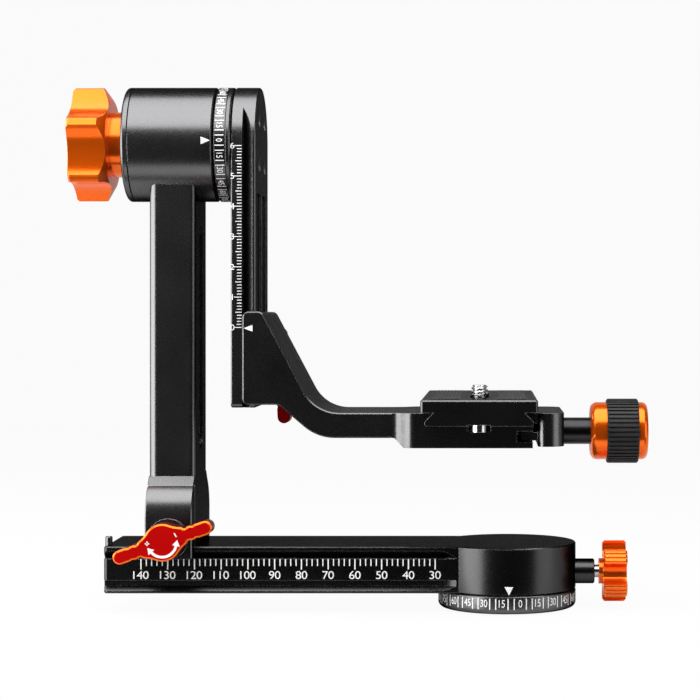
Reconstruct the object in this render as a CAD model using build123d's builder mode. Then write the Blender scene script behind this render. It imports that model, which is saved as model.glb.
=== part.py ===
"""Gimbal head for a tripod: a panning base arm, a sliding column, a tilting swing arm and a camera cradle.

Millimetres, +Z up. The origin is the centre of the base's underside, on the pan axis, where the tripod
screw enters. The base arm runs towards -X, and the scales and index marks face -Y.
"""
from build123d import *
import math
import os

os.makedirs("parts", exist_ok=True)

# --- Clearances -------------------------------------------------------------------------------------
seat_gap = 0.03        # between pieces that are fitted tight into each other
run_gap = 0.05         # radial, round a turning shaft
face_gap = 0.1         # between faces that turn or slide on each other
pan_gap = 0.2          # the fine line between the graduated disc and the arm above it
jaw_gap = 0.15         # between a clamping jaw and what it closes on
seam_gap = 0.15        # the visible seam round a jaw

# --- Base disc and pan bearing ----------------------------------------------------------------------
disc_radius = 26.3
disc_height = 6.8
disc_edge_radius = 2.0
disc_top_bevel = 0.4
tripod_hole_radius = 4.0
stud_room_radius = 5.0
stud_room_depth = 9.0
base_screw_count = 3
base_screw_ring = 7.8
base_screw_radius = 1.5
base_screw_head_radius = 2.8
base_screw_recess = 0.2
base_screw_length = 10.0
journal_radius = 10.0
drum_radius = 13.0
drum_height = 10.6
retaining_ring_radius = 17.4
retaining_ring_height = 2.2
pan_washer_height = 0.4
pan_washer_bore = 8.0
pan_bush_wall = 1.9
pan_bush_height = 3.7

# --- Base arm ---------------------------------------------------------------------------------------
arm_height = 17.5
arm_half_width = 19.0
arm_reach = 151.0
arm_corner_radius = 1.4
arm_edge = 0.4
rail_height = 8.0
rail_top_drop = 4.6
upper_groove_depth = 2.8
upper_groove_floor = 0.2
lower_groove_depth = 1.8
lower_groove_floor = 2.2
groove_stop = 25.5
groove_run_out = 6.4
stop_screw_radius = 1.35
stop_screw_inset = 1.2
stop_screw_side = 14.5
stop_screw_stand = 3.4
stop_screw_depth = 8.0

# --- Pan lock ---------------------------------------------------------------------------------------
pan_lock_drop = 11.4
pan_pad_radius = 3.0
pan_pad_length = 5.4
pan_boss_radius = 4.75
pan_boss_inner = 20.5
pan_boss_outer = 33.4
pan_stud_radius = 2.45
pan_neck = 1.7
pan_collar_radius = 4.85
pan_collar_length = 1.5
pan_knob_radius = 11.65
pan_knob_length = 9.0
pan_knob_edge = 0.7
pan_stud_end_wall = 3.0
pan_lobe_count = 5
pan_scallop_radius = 4.2
pan_scallop_ring = 9.8
pan_ridge_count = 4
pan_ridge_pitch = 8.5
pan_ridge_radius = 0.45

# --- Column and its foot ----------------------------------------------------------------------------
column_inset = 24.95
column_width = 17.5
column_half_depth = 15.0
column_front_round = 3.0
column_back_round = 2.0
foot_half_depth = 24.0
foot_below_arm_top = 4.1
foot_neck_height = 26.0
foot_shoulder_height = 22.45
foot_shoulder_half = 18.4
foot_curve_height = 11.3
foot_curve_radius = 14.0
foot_edge = 0.4
column_groove_half = 5.0
column_groove_depth = 1.2
column_groove_low = 60.0
column_groove_end = 8.5
column_jaw_inner = 16.0
clamp_screw_radius = 2.4
clamp_screw_above_arm = 3.5
clamp_screw_reach = 20.0
jaw_boss_radius = 7.5
jaw_boss_height = 1.5
jaw_pin_radius = 1.5
jaw_pin_spread = 5.0
jaw_pin_above_arm = 13.0
jaw_pin_length = 16.0
jaw_pin_in_jaw = 5.5

# --- Red locking levers -----------------------------------------------------------------------------
lever_hub_radius = 6.5
lever_hub_height = 4.2
lever_thickness = 8.0
lever_bulge_radius = 6.85
lever_tip_radius = 2.55
lever_tip_spread = 33.0
lever_throat_radius = 12.0
lever_edge = 0.6
lever_notch_radius = 1.3
lever_notch_depth = 0.25
lever_notch_places = (9.6, 12.4)
lever_insert_radius = 4.0
lever_insert_depth = 8.5
column_lever_tilt = 19.1
cradle_lever_tilt = 87.0

# --- Tilt housing -----------------------------------------------------------------------------------
tilt_height = 176.3
housing_radius = 21.8
housing_cap_side = 16.25
housing_ring_side = 15.65
housing_bore = 11.0
housing_edge = 0.5
cap_thickness = 2.3
cap_edge = 1.2
cap_spigot_radius = 18.0
cap_spigot_depth = 1.9
brake_room_depth = 1.2
brake_disc_radius = 10.4
brake_disc_height = 1.4
tilt_shaft_radius = 8.0
tilt_bush_length = 3.7
tilt_inner_bush_length = 6.8
tilt_nut_height = 3.2
housing_screw_radius = 2.0
housing_screw_head_radius = 3.3
housing_screw_head_height = 4.0
housing_screw_seat = 14.3
housing_screw_length = 16.0
housing_screw_spread = 7.4

# --- Tilt knob --------------------------------------------------------------------------------------
tilt_stud_radius = 3.95
tilt_stud_length = 17.0
tilt_collar_radius = 12.4
tilt_collar_length = 6.2
tilt_knob_radius = 21.65
tilt_back_radius = 17.0
tilt_cone_length = 2.7
tilt_rim_length = 11.5
tilt_knob_edge = 0.8
tilt_lobe_count = 6
tilt_lobe_corner = 0.7
tilt_scallop_radius = 18.5
tilt_scallop_floor = 16.9
tilt_knob_turn = 11.0

# --- Graduated ring, collar and swing arm -----------------------------------------------------------
hub_gap = 0.2
hub_radius = 17.0
hub_screw_ring = 12.0
hub_screw_count = 4
hub_screw_radius = 1.5
hub_screw_head_radius = 2.75
hub_screw_head_height = 3.0
hub_screw_length = 11.0
scale_ring_stand_off = 0.7
scale_ring_length = 4.5
scale_ring_edge = 0.3
swing_collar_length = 1.7
swing_stand_off = 7.2
swing_thickness = 9.2
swing_half_width = 21.0
swing_bottom_drop = 1.3
swing_bottom_round = 1.8
swing_edge = 0.4
swing_land = 4.2
swing_groove_depth = 3.6
swing_groove_floor = 0.2
channel_inner = 0.6
channel_outer = 17.7
channel_depth = 0.65
channel_start = 9.5
channel_end = 19.3
channel_corner = 2.5
swing_stop_radius = 2.5
swing_stop_height = 1.6
swing_stop_above_bottom = 4.0
swing_stop_depth = 5.0

# --- Cradle bracket ---------------------------------------------------------------------------------
cradle_bite = 4.9
cradle_half_width = 25.7
cradle_low_rise = 11.0
cradle_height = 34.6
cradle_top_width = 7.1
cradle_corner_radius = 2.2
slant_foot_reach = 27.0
neck_rise = 8.0
neck_thickness = 9.3
neck_elbow_reach = 27.8
underside_elbow_reach = 13.4
slant_throat_radius = 15.0
underside_throat_radius = 17.6
underside_nose_radius = 3.0
cradle_edge = 0.4
cradle_jaw_reach = 16.8
cradle_jaw_inner = 16.0
cradle_screw_inset = 8.7
cradle_screw_rise = 9.2
cradle_screw_reach = -22.0
cradle_pin_drop = 5.6
cradle_pin_rise = 11.5
cradle_pin_length = 15.0

# --- Quick-release clamp ----------------------------------------------------------------------------
plate_centre = -10.4
clamp_half_length = 30.0
clamp_left_reach = 23.9
clamp_right_reach = 19.7
clamp_drop = 4.8
widening_length = 8.7
widening_slope = 3.5
clamp_floor_rise = 4.25
floor_pocket_half = 4.2
floor_pocket_depth = 3.0
floor_pocket_length = 14.0
tongue_slot_length = 5.9
tongue_slot_drop = 2.6
tongue_slot_rise = 1.5
tongue_clearance = 1.7
tongue_inset = 0.5
tongue_round = 0.8
tongue_root = 1.4
qr_jaw_opening = 1.9
qr_jaw_thickness = 9.8
qr_jaw_drop = 4.3
qr_jaw_nose = 2.8
qr_jaw_corner = 6.5
qr_axis_height = 66.8
qr_screw_radius = 3.0
qr_screw_depth = 27.3
qr_neck_radius = 5.1
qr_neck_length = 10.8
qr_pin_radius = 1.2
qr_pin_side = 20.0
qr_pin_depth = 17.3
qr_pin_length = 26.0
qr_knob_radius = 10.95
qr_knob_length = 21.8
qr_knob_shoulder = 2.6
qr_knob_nose = 2.2
qr_knob_socket = 6.0
grip_start = 6.2
grip_length = 12.1
grip_depth = 0.8
grip_radius = 12.3
grip_rib_count = 44
grip_rib_cut = 0.55
grip_edge = 0.5

# --- Quick-release plate ----------------------------------------------------------------------------
plate_half_width = 21.2
plate_half_length = 50.0
plate_flange_rise = 4.95
plate_flange_thickness = 4.5
plate_corner_radius = 1.2
plate_edge = 0.5
dovetail_top_half = 16.25
dovetail_half = 19.55
dovetail_round = 0.6
pad_width = 10.2
pad_half_length = 40.0
pad_centre_offset = 12.1
pad_pocket_depth = 0.6
pad_stand = 0.45
pad_corner_radius = 1.0
screw_slot_half_length = 30.0
screw_slot_width = 7.2
head_slot_width = 12.0
head_slot_rise = 0.6
camera_screw_y = -19.0
camera_screw_radius = 3.175
camera_screw_stand = 4.5
camera_thread_start = 0.2
camera_neck_radius = 2.4
camera_head_radius = 5.6
camera_head_rise = 1.15
camera_slot_width = 1.4
camera_slot_depth = 1.5
washer_height = 0.5
safety_screw_y = 45.0
safety_screw_radius = 1.5
safety_head_radius = 2.6
safety_head_height = 2.8
safety_relief_half = 4.2
safety_relief_depth = 0.45
safety_screw_length = 4.0
socket_share = 0.5

# --- Levels and places that follow from the sizes ----------------------------------------------------
arm_low = disc_height + pan_gap
arm_top = arm_low + arm_height
ring_low = arm_low + face_gap
drum_low = ring_low + retaining_ring_height + face_gap
drum_top = drum_low + drum_height
pan_roof = drum_top + pan_washer_height + 2 * run_gap
rail_top = arm_top - rail_top_drop
rail_low = rail_top - rail_height
pan_lock_height = arm_top - pan_lock_drop
pan_bore_radius = drum_radius + run_gap + pan_bush_wall + seat_gap
pan_pad_tip = drum_radius + run_gap
pan_stud_tip = pan_pad_tip + pan_pad_length + run_gap
pan_collar_left = pan_boss_outer + pan_neck
pan_knob_left = pan_collar_left + pan_collar_length
pan_knob_right = pan_knob_left + pan_knob_length

front_angle = 180.0    # of -Y, in a sketch on a plane square to X
column_centre = column_inset - arm_reach
column_left = column_centre - column_width / 2
column_right = column_centre + column_width / 2
foot_low = arm_top - foot_below_arm_top
foot_seat = arm_top + face_gap
clamp_screw_height = arm_top + clamp_screw_above_arm
lever_start = foot_half_depth + jaw_boss_height + face_gap

housing_left = column_centre - housing_cap_side
housing_right = column_centre + housing_ring_side
column_groove_high = tilt_height - housing_radius - column_groove_end
cap_left = housing_left - cap_thickness
brake_room_left = housing_left - brake_room_depth
shaft_left = housing_left + cap_spigot_depth
brake_left = shaft_left - run_gap - brake_disc_height
tilt_collar_left = cap_left - face_gap - tilt_collar_length
tilt_rim_right = tilt_collar_left - tilt_cone_length
tilt_knob_left = tilt_rim_right - tilt_rim_length
hub_left = housing_right + hub_gap
scale_ring_left = housing_right + scale_ring_stand_off
swing_left = housing_right + swing_stand_off
hub_right = swing_left - seat_gap
swing_right = swing_left + swing_thickness
scale_ring_right = scale_ring_left + scale_ring_length
nut_right = shaft_left + tilt_nut_height
outer_bush_left = nut_right + face_gap

cradle_low = qr_axis_height + cradle_low_rise
cradle_high = cradle_low + cradle_height
cradle_left = swing_left + cradle_bite
cradle_jaw_right = cradle_left + cradle_jaw_reach
cradle_screw_x = cradle_left + cradle_screw_inset
cradle_screw_z = cradle_low + cradle_screw_rise
neck_high = qr_axis_height + neck_rise
neck_low = neck_high - neck_thickness
swing_bottom = cradle_low - swing_bottom_drop
channel_low = swing_bottom + channel_start
channel_high = tilt_height - channel_end
cradle_face = swing_right + jaw_gap
cradle_wall_inner = swing_half_width + jaw_gap
lever_start_rear = cradle_half_width + jaw_boss_height + face_gap
swing_stop_z = swing_bottom + swing_stop_above_bottom

clamp_left = plate_centre - clamp_left_reach
clamp_right = plate_centre + clamp_right_reach
clamp_low = qr_axis_height - clamp_drop
clamp_floor = qr_axis_height + clamp_floor_rise
widening_start = clamp_left - widening_length
tongue_slot_left = clamp_right - tongue_slot_length
tongue_slot_low = qr_axis_height - tongue_slot_drop
tongue_slot_high = qr_axis_height + tongue_slot_rise
tongue_left = tongue_slot_left + tongue_clearance
qr_jaw_left = clamp_right + qr_jaw_opening
qr_jaw_right = qr_jaw_left + qr_jaw_thickness
qr_jaw_low = qr_axis_height - qr_jaw_drop
qr_screw_left = clamp_right - qr_screw_depth
qr_pin_left = clamp_right - qr_pin_depth
plate_low = clamp_floor + face_gap
plate_flange_low = clamp_floor + plate_flange_rise
plate_high = plate_flange_low + plate_flange_thickness
dovetail_low = plate_flange_low - (dovetail_half - dovetail_top_half)
qr_knob_left = qr_jaw_right + qr_neck_length


# --- Shapes that are used again -----------------------------------------------------------------------
def across(x, z):
    """The plane square to X at x, centred on height z, facing +X."""
    return Plane(origin=(x, 0, z), x_dir=(0, 1, 0), z_dir=(1, 0, 0))


def facing_front(x, y, z, turn=0.0):
    """The plane square to Y through a point, facing -Y; turn raises its +X side, in degrees."""
    raised = math.radians(turn)
    return Plane(origin=(x, y, z), x_dir=(math.cos(raised), 0, math.sin(raised)), z_dir=(0, -1, 0))


def facing_rear(x, y, z, turn=0.0):
    """The plane square to Y through a point, facing +Y; turn raises its -X side, in degrees."""
    raised = math.radians(turn)
    return Plane(origin=(x, y, z), x_dir=(-math.cos(raised), 0, math.sin(raised)), z_dir=(0, 1, 0))


def level(z, x=0.0, y=0.0):
    """The level plane at height z, centred on x and y."""
    return Plane(origin=(x, y, z), x_dir=(1, 0, 0), z_dir=(0, 0, 1))


def rod(plane, radius, length, mode=Mode.ADD):
    """A round bar from the plane along its normal."""
    with BuildSketch(plane) as section:
        Circle(radius)
    extrude(section.sketch, amount=length, mode=mode)


def tube(plane, radius, bore, length, mode=Mode.ADD):
    """A round tube from the plane along its normal."""
    with BuildSketch(plane) as section:
        Circle(radius)
        Circle(bore, mode=Mode.SUBTRACT)
    extrude(section.sketch, amount=length, mode=mode)


def prism(plane, points, length, mode=Mode.ADD, both=False):
    """The closed outline through the points, carried along the plane's normal."""
    with BuildSketch(plane) as section:
        with BuildLine():
            Polyline(*points, close=True)
        make_face()
    extrude(section.sketch, amount=length, mode=mode, both=both)


def groove_outline(rail_edge, direction, depth, floor):
    """A clamping groove: square at the rail, a narrow floor, then a flank that rises at 45 degrees.

    Points are (depth below the face, place across the groove).
    """
    return [
        (0, rail_edge),
        (depth, rail_edge),
        (depth, rail_edge + direction * floor),
        (0, rail_edge + direction * (floor + depth)),
    ]


def socket_screw(seat, radius, length, head_radius, head_height):
    """A socket-head screw: its head stands on the seat plane and its shank runs the other way."""
    with BuildPart() as screw:
        rod(seat, head_radius, head_height)
        rod(seat, radius, -length)
        with BuildSketch(seat.offset(head_height)) as socket:
            RegularPolygon(head_radius * socket_share, 6)
        extrude(socket.sketch, amount=-head_height * socket_share, mode=Mode.SUBTRACT)
    return screw.part


def save(piece, name):
    """Label the finished piece and write it under its own name."""
    piece.label = name
    export_step(piece, f"parts/{name}.step")


# --- Base: graduated disc, spindle and bearing --------------------------------------------------------
# The disc is turned from aluminium and takes the tripod screw in its middle.
with BuildPart() as base_disc:
    rod(Plane.XY, disc_radius, disc_height)
    fillet(base_disc.faces().sort_by(Axis.Z)[0].edges(), disc_edge_radius)
    chamfer(base_disc.faces().sort_by(Axis.Z)[-1].edges(), disc_top_bevel)
    rod(Plane.XY, tripod_hole_radius, disc_height, Mode.SUBTRACT)
    with BuildSketch(Plane.XY) as base_screw_holes:
        with PolarLocations(base_screw_ring, base_screw_count, start_angle=30):
            Circle(base_screw_radius + run_gap)
    extrude(base_screw_holes.sketch, amount=disc_height, mode=Mode.SUBTRACT)
    with PolarLocations(base_screw_ring, base_screw_count, start_angle=30):
        Cone(
            base_screw_head_radius + base_screw_recess + run_gap,
            base_screw_radius + run_gap,
            base_screw_head_radius - base_screw_radius + base_screw_recess,
            align=(Align.CENTER, Align.CENTER, Align.MIN),
            mode=Mode.SUBTRACT,
        )
save(base_disc.part, "base_disc")

# The spindle stands on the disc; its wide drum is what the lock pad presses on.
with BuildPart() as pan_spindle:
    rod(level(disc_height), journal_radius, drum_low - disc_height)
    rod(level(drum_low), drum_radius, drum_height)
    rod(level(disc_height), stud_room_radius, stud_room_depth, Mode.SUBTRACT)
    with BuildSketch(level(disc_height)) as spindle_screw_holes:
        with PolarLocations(base_screw_ring, base_screw_count, start_angle=30):
            Circle(base_screw_radius + seat_gap)
    extrude(spindle_screw_holes.sketch, amount=base_screw_length - disc_height + 1, mode=Mode.SUBTRACT)
save(pan_spindle.part, "pan_spindle")

# Three flat-head screws hold the spindle from below, their heads just under the disc's face.
with BuildPart() as base_screws:
    with PolarLocations(base_screw_ring, base_screw_count, start_angle=30):
        with Locations((0, 0, base_screw_recess)):
            Cone(
                base_screw_head_radius,
                base_screw_radius,
                base_screw_head_radius - base_screw_radius,
                align=(Align.CENTER, Align.CENTER, Align.MIN),
            )
            Cylinder(
                base_screw_radius,
                base_screw_length - base_screw_recess,
                align=(Align.CENTER, Align.CENTER, Align.MIN),
            )
    with BuildSketch(level(base_screw_recess)) as base_screw_sockets:
        with PolarLocations(base_screw_ring, base_screw_count, start_angle=30):
            RegularPolygon(base_screw_radius * 0.7, 6)
    extrude(base_screw_sockets.sketch, amount=base_screw_radius, mode=Mode.SUBTRACT)
save(base_screws.part, "base_screws")

with BuildPart() as pan_thrust_washer:
    tube(level(drum_top + run_gap), drum_radius - face_gap, pan_washer_bore, pan_washer_height)
save(pan_thrust_washer.part, "pan_thrust_washer")


# --- Pan stage: base arm and lock ---------------------------------------------------------------------
def cut_arm_groove(outline, side):
    """Mill one clamping groove along the arm and let the round cutter run out of its side."""
    face = side * arm_half_width
    deepest = max(depth for depth, z in outline)
    cutter = (groove_run_out**2 + deepest**2) / (2 * deepest)
    straight = [(face - side * depth, z) for depth, z in outline]
    prism(across(-arm_reach - 1, 0), straight, arm_reach + 1 - groove_stop, Mode.SUBTRACT)
    sweep_profile = [(cutter - deepest + depth, z) for depth, z in outline]
    sweep_profile = [(0, outline[0][1])] + sweep_profile + [(0, outline[-1][1])]
    centre_y = face + side * (cutter - deepest)
    with BuildSketch(facing_front(-groove_stop, centre_y, 0)) as run_out:
        with BuildLine():
            Polyline(*sweep_profile, close=True)
        make_face()
    revolve(run_out.sketch, Axis((-groove_stop, centre_y, 0), (0, 0, 1)), mode=Mode.SUBTRACT)


upper_groove = groove_outline(rail_top, 1, upper_groove_depth, upper_groove_floor)
lower_groove = groove_outline(rail_low, -1, lower_groove_depth, lower_groove_floor)

# The arm is a milled bar whose round end is the pan housing; the grooves carry the column's foot.
with BuildPart() as base_arm:
    with BuildSketch(level(arm_low)) as arm_plan:
        with Locations((-arm_reach / 2, 0)):
            Rectangle(arm_reach, 2 * arm_half_width)
        fillet(arm_plan.vertices().group_by(Axis.X)[0], arm_corner_radius)
        Circle(disc_radius)
    extrude(arm_plan.sketch, amount=arm_height)
    chamfer(base_arm.faces().sort_by(Axis.Z)[-1].edges(), arm_edge)
    chamfer(base_arm.faces().sort_by(Axis.Z)[0].edges(), arm_edge)
    for side in (1, -1):
        cut_arm_groove(upper_groove, side)
        cut_arm_groove(lower_groove, side)
    rod(level(arm_low), retaining_ring_radius + seat_gap, drum_low - arm_low, Mode.SUBTRACT)
    rod(level(drum_low), pan_bore_radius, pan_roof - drum_low, Mode.SUBTRACT)
    rod(across(0, pan_lock_height), pan_pad_radius + run_gap, pan_boss_inner + 1, Mode.SUBTRACT)
    rod(across(pan_boss_inner, pan_lock_height), pan_boss_radius + seat_gap, disc_radius, Mode.SUBTRACT)
    stop_screw_x = -arm_reach + stop_screw_inset
    stop_screw_seat = level(arm_top - stop_screw_depth, stop_screw_x, -stop_screw_side)
    rod(stop_screw_seat, stop_screw_radius + seat_gap, stop_screw_depth, Mode.SUBTRACT)
save(base_arm.part, "base_arm")

with BuildPart() as pan_retaining_ring:
    tube(level(ring_low), retaining_ring_radius, journal_radius + run_gap, retaining_ring_height)
    with BuildSketch(level(ring_low)) as spanner_holes:
        with PolarLocations((retaining_ring_radius + journal_radius) / 2, 4):
            Circle(retaining_ring_height / 2)
    extrude(spanner_holes.sketch, amount=retaining_ring_height, mode=Mode.SUBTRACT)
save(pan_retaining_ring.part, "pan_retaining_ring")

with BuildPart() as pan_bush:
    tube(
        level(drum_top - pan_bush_height),
        drum_radius + run_gap + pan_bush_wall,
        drum_radius + run_gap,
        pan_bush_height,
    )
save(pan_bush.part, "pan_bush")

with BuildPart() as arm_stop_screw:
    rod(stop_screw_seat, stop_screw_radius, stop_screw_depth + stop_screw_stand)
    chamfer(arm_stop_screw.faces().sort_by(Axis.Z)[-1].edges(), stop_screw_radius * 0.2)
    with BuildSketch(level(arm_top + stop_screw_stand, stop_screw_x, -stop_screw_side)) as stop_socket:
        RegularPolygon(stop_screw_radius * socket_share, 6)
    extrude(stop_socket.sketch, amount=-stop_screw_radius, mode=Mode.SUBTRACT)
save(arm_stop_screw.part, "arm_stop_screw")

# The boss is a threaded sleeve let into the housing; the knob's screw runs in it.
with BuildPart() as pan_lock_boss:
    tube(
        across(pan_boss_inner, pan_lock_height),
        pan_boss_radius,
        pan_stud_radius + run_gap,
        pan_boss_outer - pan_boss_inner,
    )
    chamfer(pan_lock_boss.faces().sort_by(Axis.X)[-1].outer_wire().edges(), arm_edge)
save(pan_lock_boss.part, "pan_lock_boss")

with BuildPart() as pan_lock_pad:
    pad_start = drum_radius * 0.8
    rod(across(pad_start, pan_lock_height), pan_pad_radius, pan_stud_tip - run_gap - pad_start)
    rod(level(0), pan_pad_tip, arm_top, Mode.SUBTRACT)
save(pan_lock_pad.part, "pan_lock_pad")

with BuildPart() as pan_lock_stud:
    rod(
        across(pan_stud_tip, pan_lock_height),
        pan_stud_radius,
        pan_knob_right - pan_stud_end_wall - pan_stud_tip,
    )
save(pan_lock_stud.part, "pan_lock_stud")

# Star knob: deep hollows between narrow lands, each land finely ridged for grip.
with BuildPart() as pan_knob:
    rod(across(pan_knob_left, pan_lock_height), pan_knob_radius, pan_knob_length)
    chamfer(pan_knob.edges().filter_by(GeomType.CIRCLE), pan_knob_edge)
    with BuildSketch(across(pan_knob_left, pan_lock_height)) as pan_hollows:
        with PolarLocations(pan_scallop_ring, pan_lobe_count, start_angle=front_angle):
            Circle(pan_scallop_radius)
        land_start = front_angle + 180 / pan_lobe_count - pan_ridge_pitch * (pan_ridge_count - 1) / 2
        for ridge in range(pan_ridge_count):
            ridge_angle = land_start + ridge * pan_ridge_pitch
            with PolarLocations(pan_knob_radius, pan_lobe_count, start_angle=ridge_angle):
                Circle(pan_ridge_radius)
    extrude(pan_hollows.sketch, amount=pan_knob_length, mode=Mode.SUBTRACT)
    rod(across(pan_collar_left, pan_lock_height), pan_collar_radius, pan_collar_length)
    rod(
        across(pan_collar_left, pan_lock_height),
        pan_stud_radius + seat_gap,
        pan_knob_right - pan_stud_end_wall + seat_gap - pan_collar_left,
        Mode.SUBTRACT,
    )
save(pan_knob.part, "pan_knob")


# --- Column stage -------------------------------------------------------------------------------------
shoulder_z = arm_top + foot_shoulder_height
neck_z = arm_top + foot_neck_height
foot_flank = rail_top + upper_groove_floor + upper_groove_depth - arm_half_width - jaw_gap * math.sqrt(2)


def foot_outline(side, inner, shoulder):
    """Trace one flared side of the foot as (y, z): from its inner top, round the outside, to its hook.

    The hook's flank lies against the arm's groove; the last point is inside, above the arm.
    """
    outer = arm_half_width + jaw_gap
    with BuildLine() as outline:
        Line((side * inner, shoulder), (side * foot_shoulder_half, shoulder))
        RadiusArc(
            (side * foot_shoulder_half, shoulder),
            (side * foot_half_depth, shoulder - foot_curve_height),
            side * foot_curve_radius,
        )
        Polyline(
            (side * foot_half_depth, shoulder - foot_curve_height),
            (side * foot_half_depth, foot_low),
            (side * (foot_low - foot_flank), foot_low),
            (side * outer, outer + foot_flank),
            (side * outer, foot_seat),
            (side * inner, foot_seat),
            (side * inner, shoulder),
        )
    return outline.line


def foot_side(side, inner, shoulder):
    """One clamping side of the foot, as wide as the column."""
    outline = foot_outline(side, inner, shoulder)
    with BuildSketch(across(column_left, 0)) as section:
        add(outline)
        make_face()
    extrude(section.sketch, amount=column_width)


def bright_edges(part, limit):
    """The outer edges of the foot's two flat ends, beyond the limit on one side of the arm."""
    ends = part.faces().filter_by(Axis.X).group_by(Axis.X)
    found = []
    for face in ends[0] + ends[-1]:
        found += [edge for edge in face.edges() if abs(edge.center().Y) > limit]
    return found


# The column is one milled bar whose flared foot is also the fixed jaw, at the back.
with BuildPart() as column:
    foot_side(1, 0, shoulder_z)
    prism(
        across(column_left, 0),
        [
            (-column_jaw_inner + seam_gap, foot_seat),
            (0, foot_seat),
            (0, shoulder_z),
            (foot_shoulder_half, shoulder_z),
            (column_half_depth, neck_z),
            (-column_half_depth, neck_z),
            (-foot_shoulder_half, shoulder_z + seam_gap),
            (-column_jaw_inner + seam_gap, shoulder_z + seam_gap),
        ],
        column_width,
    )
    chamfer(bright_edges(column, column_half_depth), foot_edge)
    with BuildSketch(level(neck_z - foot_edge, column_centre)) as column_plan:
        Rectangle(column_width, 2 * column_half_depth)
        fillet(column_plan.vertices().group_by(Axis.X)[0], column_front_round)
        fillet(column_plan.vertices().group_by(Axis.X)[-1], column_back_round)
    extrude(column_plan.sketch, amount=tilt_height - neck_z)
    rod(
        across(column_left - 1, tilt_height),
        housing_radius + seat_gap,
        column_width + 2,
        Mode.SUBTRACT,
    )
    with BuildSketch(across(column_right, (column_groove_low + column_groove_high) / 2)) as column_groove:
        SlotOverall(column_groove_high - column_groove_low, 2 * column_groove_half, rotation=90)
    extrude(column_groove.sketch, amount=-column_groove_depth, mode=Mode.SUBTRACT)
    rod(
        facing_rear(column_centre, -column_jaw_inner, clamp_screw_height),
        clamp_screw_radius + run_gap,
        column_jaw_inner + clamp_screw_reach + face_gap,
        Mode.SUBTRACT,
    )
    for pin_side in (-1, 1):
        rod(
            facing_rear(
                column_centre + pin_side * jaw_pin_spread,
                -column_jaw_inner,
                arm_top + jaw_pin_above_arm,
            ),
            jaw_pin_radius + seat_gap,
            jaw_pin_length - jaw_pin_in_jaw + face_gap,
            Mode.SUBTRACT,
        )
        rod(
            level(
                tilt_height - housing_screw_seat - housing_screw_length - face_gap,
                column_centre + pin_side * housing_screw_spread / 2,
            ),
            housing_screw_radius + seat_gap,
            housing_screw_length,
            Mode.SUBTRACT,
        )
save(column.part, "column")

# The front jaw is a separate plate that the lever draws against the arm's front groove.
with BuildPart() as column_jaw:
    foot_side(-1, column_jaw_inner, shoulder_z)
    chamfer(bright_edges(column_jaw, column_jaw_inner + 1), foot_edge)
    rod(
        facing_front(column_centre, -foot_half_depth + face_gap, clamp_screw_height),
        jaw_boss_radius,
        jaw_boss_height + face_gap,
    )
    rod(
        facing_front(column_centre, -column_jaw_inner + 1, clamp_screw_height),
        clamp_screw_radius + jaw_gap,
        foot_half_depth,
        Mode.SUBTRACT,
    )
    for pin_side in (-1, 1):
        rod(
            facing_front(
                column_centre + pin_side * jaw_pin_spread,
                -column_jaw_inner + 1,
                arm_top + jaw_pin_above_arm,
            ),
            jaw_pin_radius + run_gap,
            jaw_pin_in_jaw + 1 + face_gap,
            Mode.SUBTRACT,
        )
save(column_jaw.part, "column_jaw")

with BuildPart() as column_jaw_pins:
    for pin_side in (-1, 1):
        rod(
            facing_rear(
                column_centre + pin_side * jaw_pin_spread,
                -column_jaw_inner - jaw_pin_in_jaw,
                arm_top + jaw_pin_above_arm,
            ),
            jaw_pin_radius,
            jaw_pin_length,
        )
save(column_jaw_pins.part, "column_jaw_pins")


# --- Locking levers: one in front on the foot, one behind on the cradle --------------------------------
def make_lever(plane):
    """A cast lever: round hub towards the jaw, then the two-armed handle with bevelled faces."""
    with BuildPart() as lever:
        rod(plane, lever_hub_radius, lever_hub_height)
        with BuildSketch(plane.offset(lever_hub_height)) as handle:
            Circle(lever_bulge_radius)
            SlotCenterToCenter(lever_tip_spread, 2 * lever_tip_radius)
            throats = [v for v in handle.sketch_local.vertices() if abs(v.X) < lever_bulge_radius]
            fillet(throats, lever_throat_radius)
            notch_centre = lever_tip_radius + lever_notch_radius - lever_notch_depth
            for place in lever_notch_places:
                with GridLocations(2 * place, 2 * notch_centre, 2, 2):
                    Circle(lever_notch_radius, mode=Mode.SUBTRACT)
        extrude(handle.sketch, amount=lever_thickness)
        along = plane.z_dir.Y
        front = lever.faces().filter_by(Axis.Y).sort_by(Axis.Y)[-1 if along > 0 else 0]
        chamfer(front.outer_wire().edges(), lever_edge)
        rod(plane, lever_insert_radius + seat_gap, lever_insert_depth + face_gap, Mode.SUBTRACT)
    return lever.part


def make_insert(plane):
    """The steel hub insert that the lever is pressed on; the clamp screw is fixed in it."""
    with BuildPart() as insert:
        tube(
            plane.offset(face_gap),
            lever_insert_radius,
            clamp_screw_radius + seat_gap,
            lever_insert_depth - face_gap,
        )
    return insert.part


column_lever_plane = facing_front(column_centre, -lever_start, clamp_screw_height, column_lever_tilt)
save(make_lever(column_lever_plane), "column_lever")
save(make_insert(column_lever_plane), "column_lever_hub")

with BuildPart() as column_clamp_screw:
    rod(
        column_lever_plane.offset(lever_insert_depth),
        clamp_screw_radius,
        -(lever_insert_depth + lever_start + clamp_screw_reach),
    )
save(column_clamp_screw.part, "column_clamp_screw")


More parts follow.
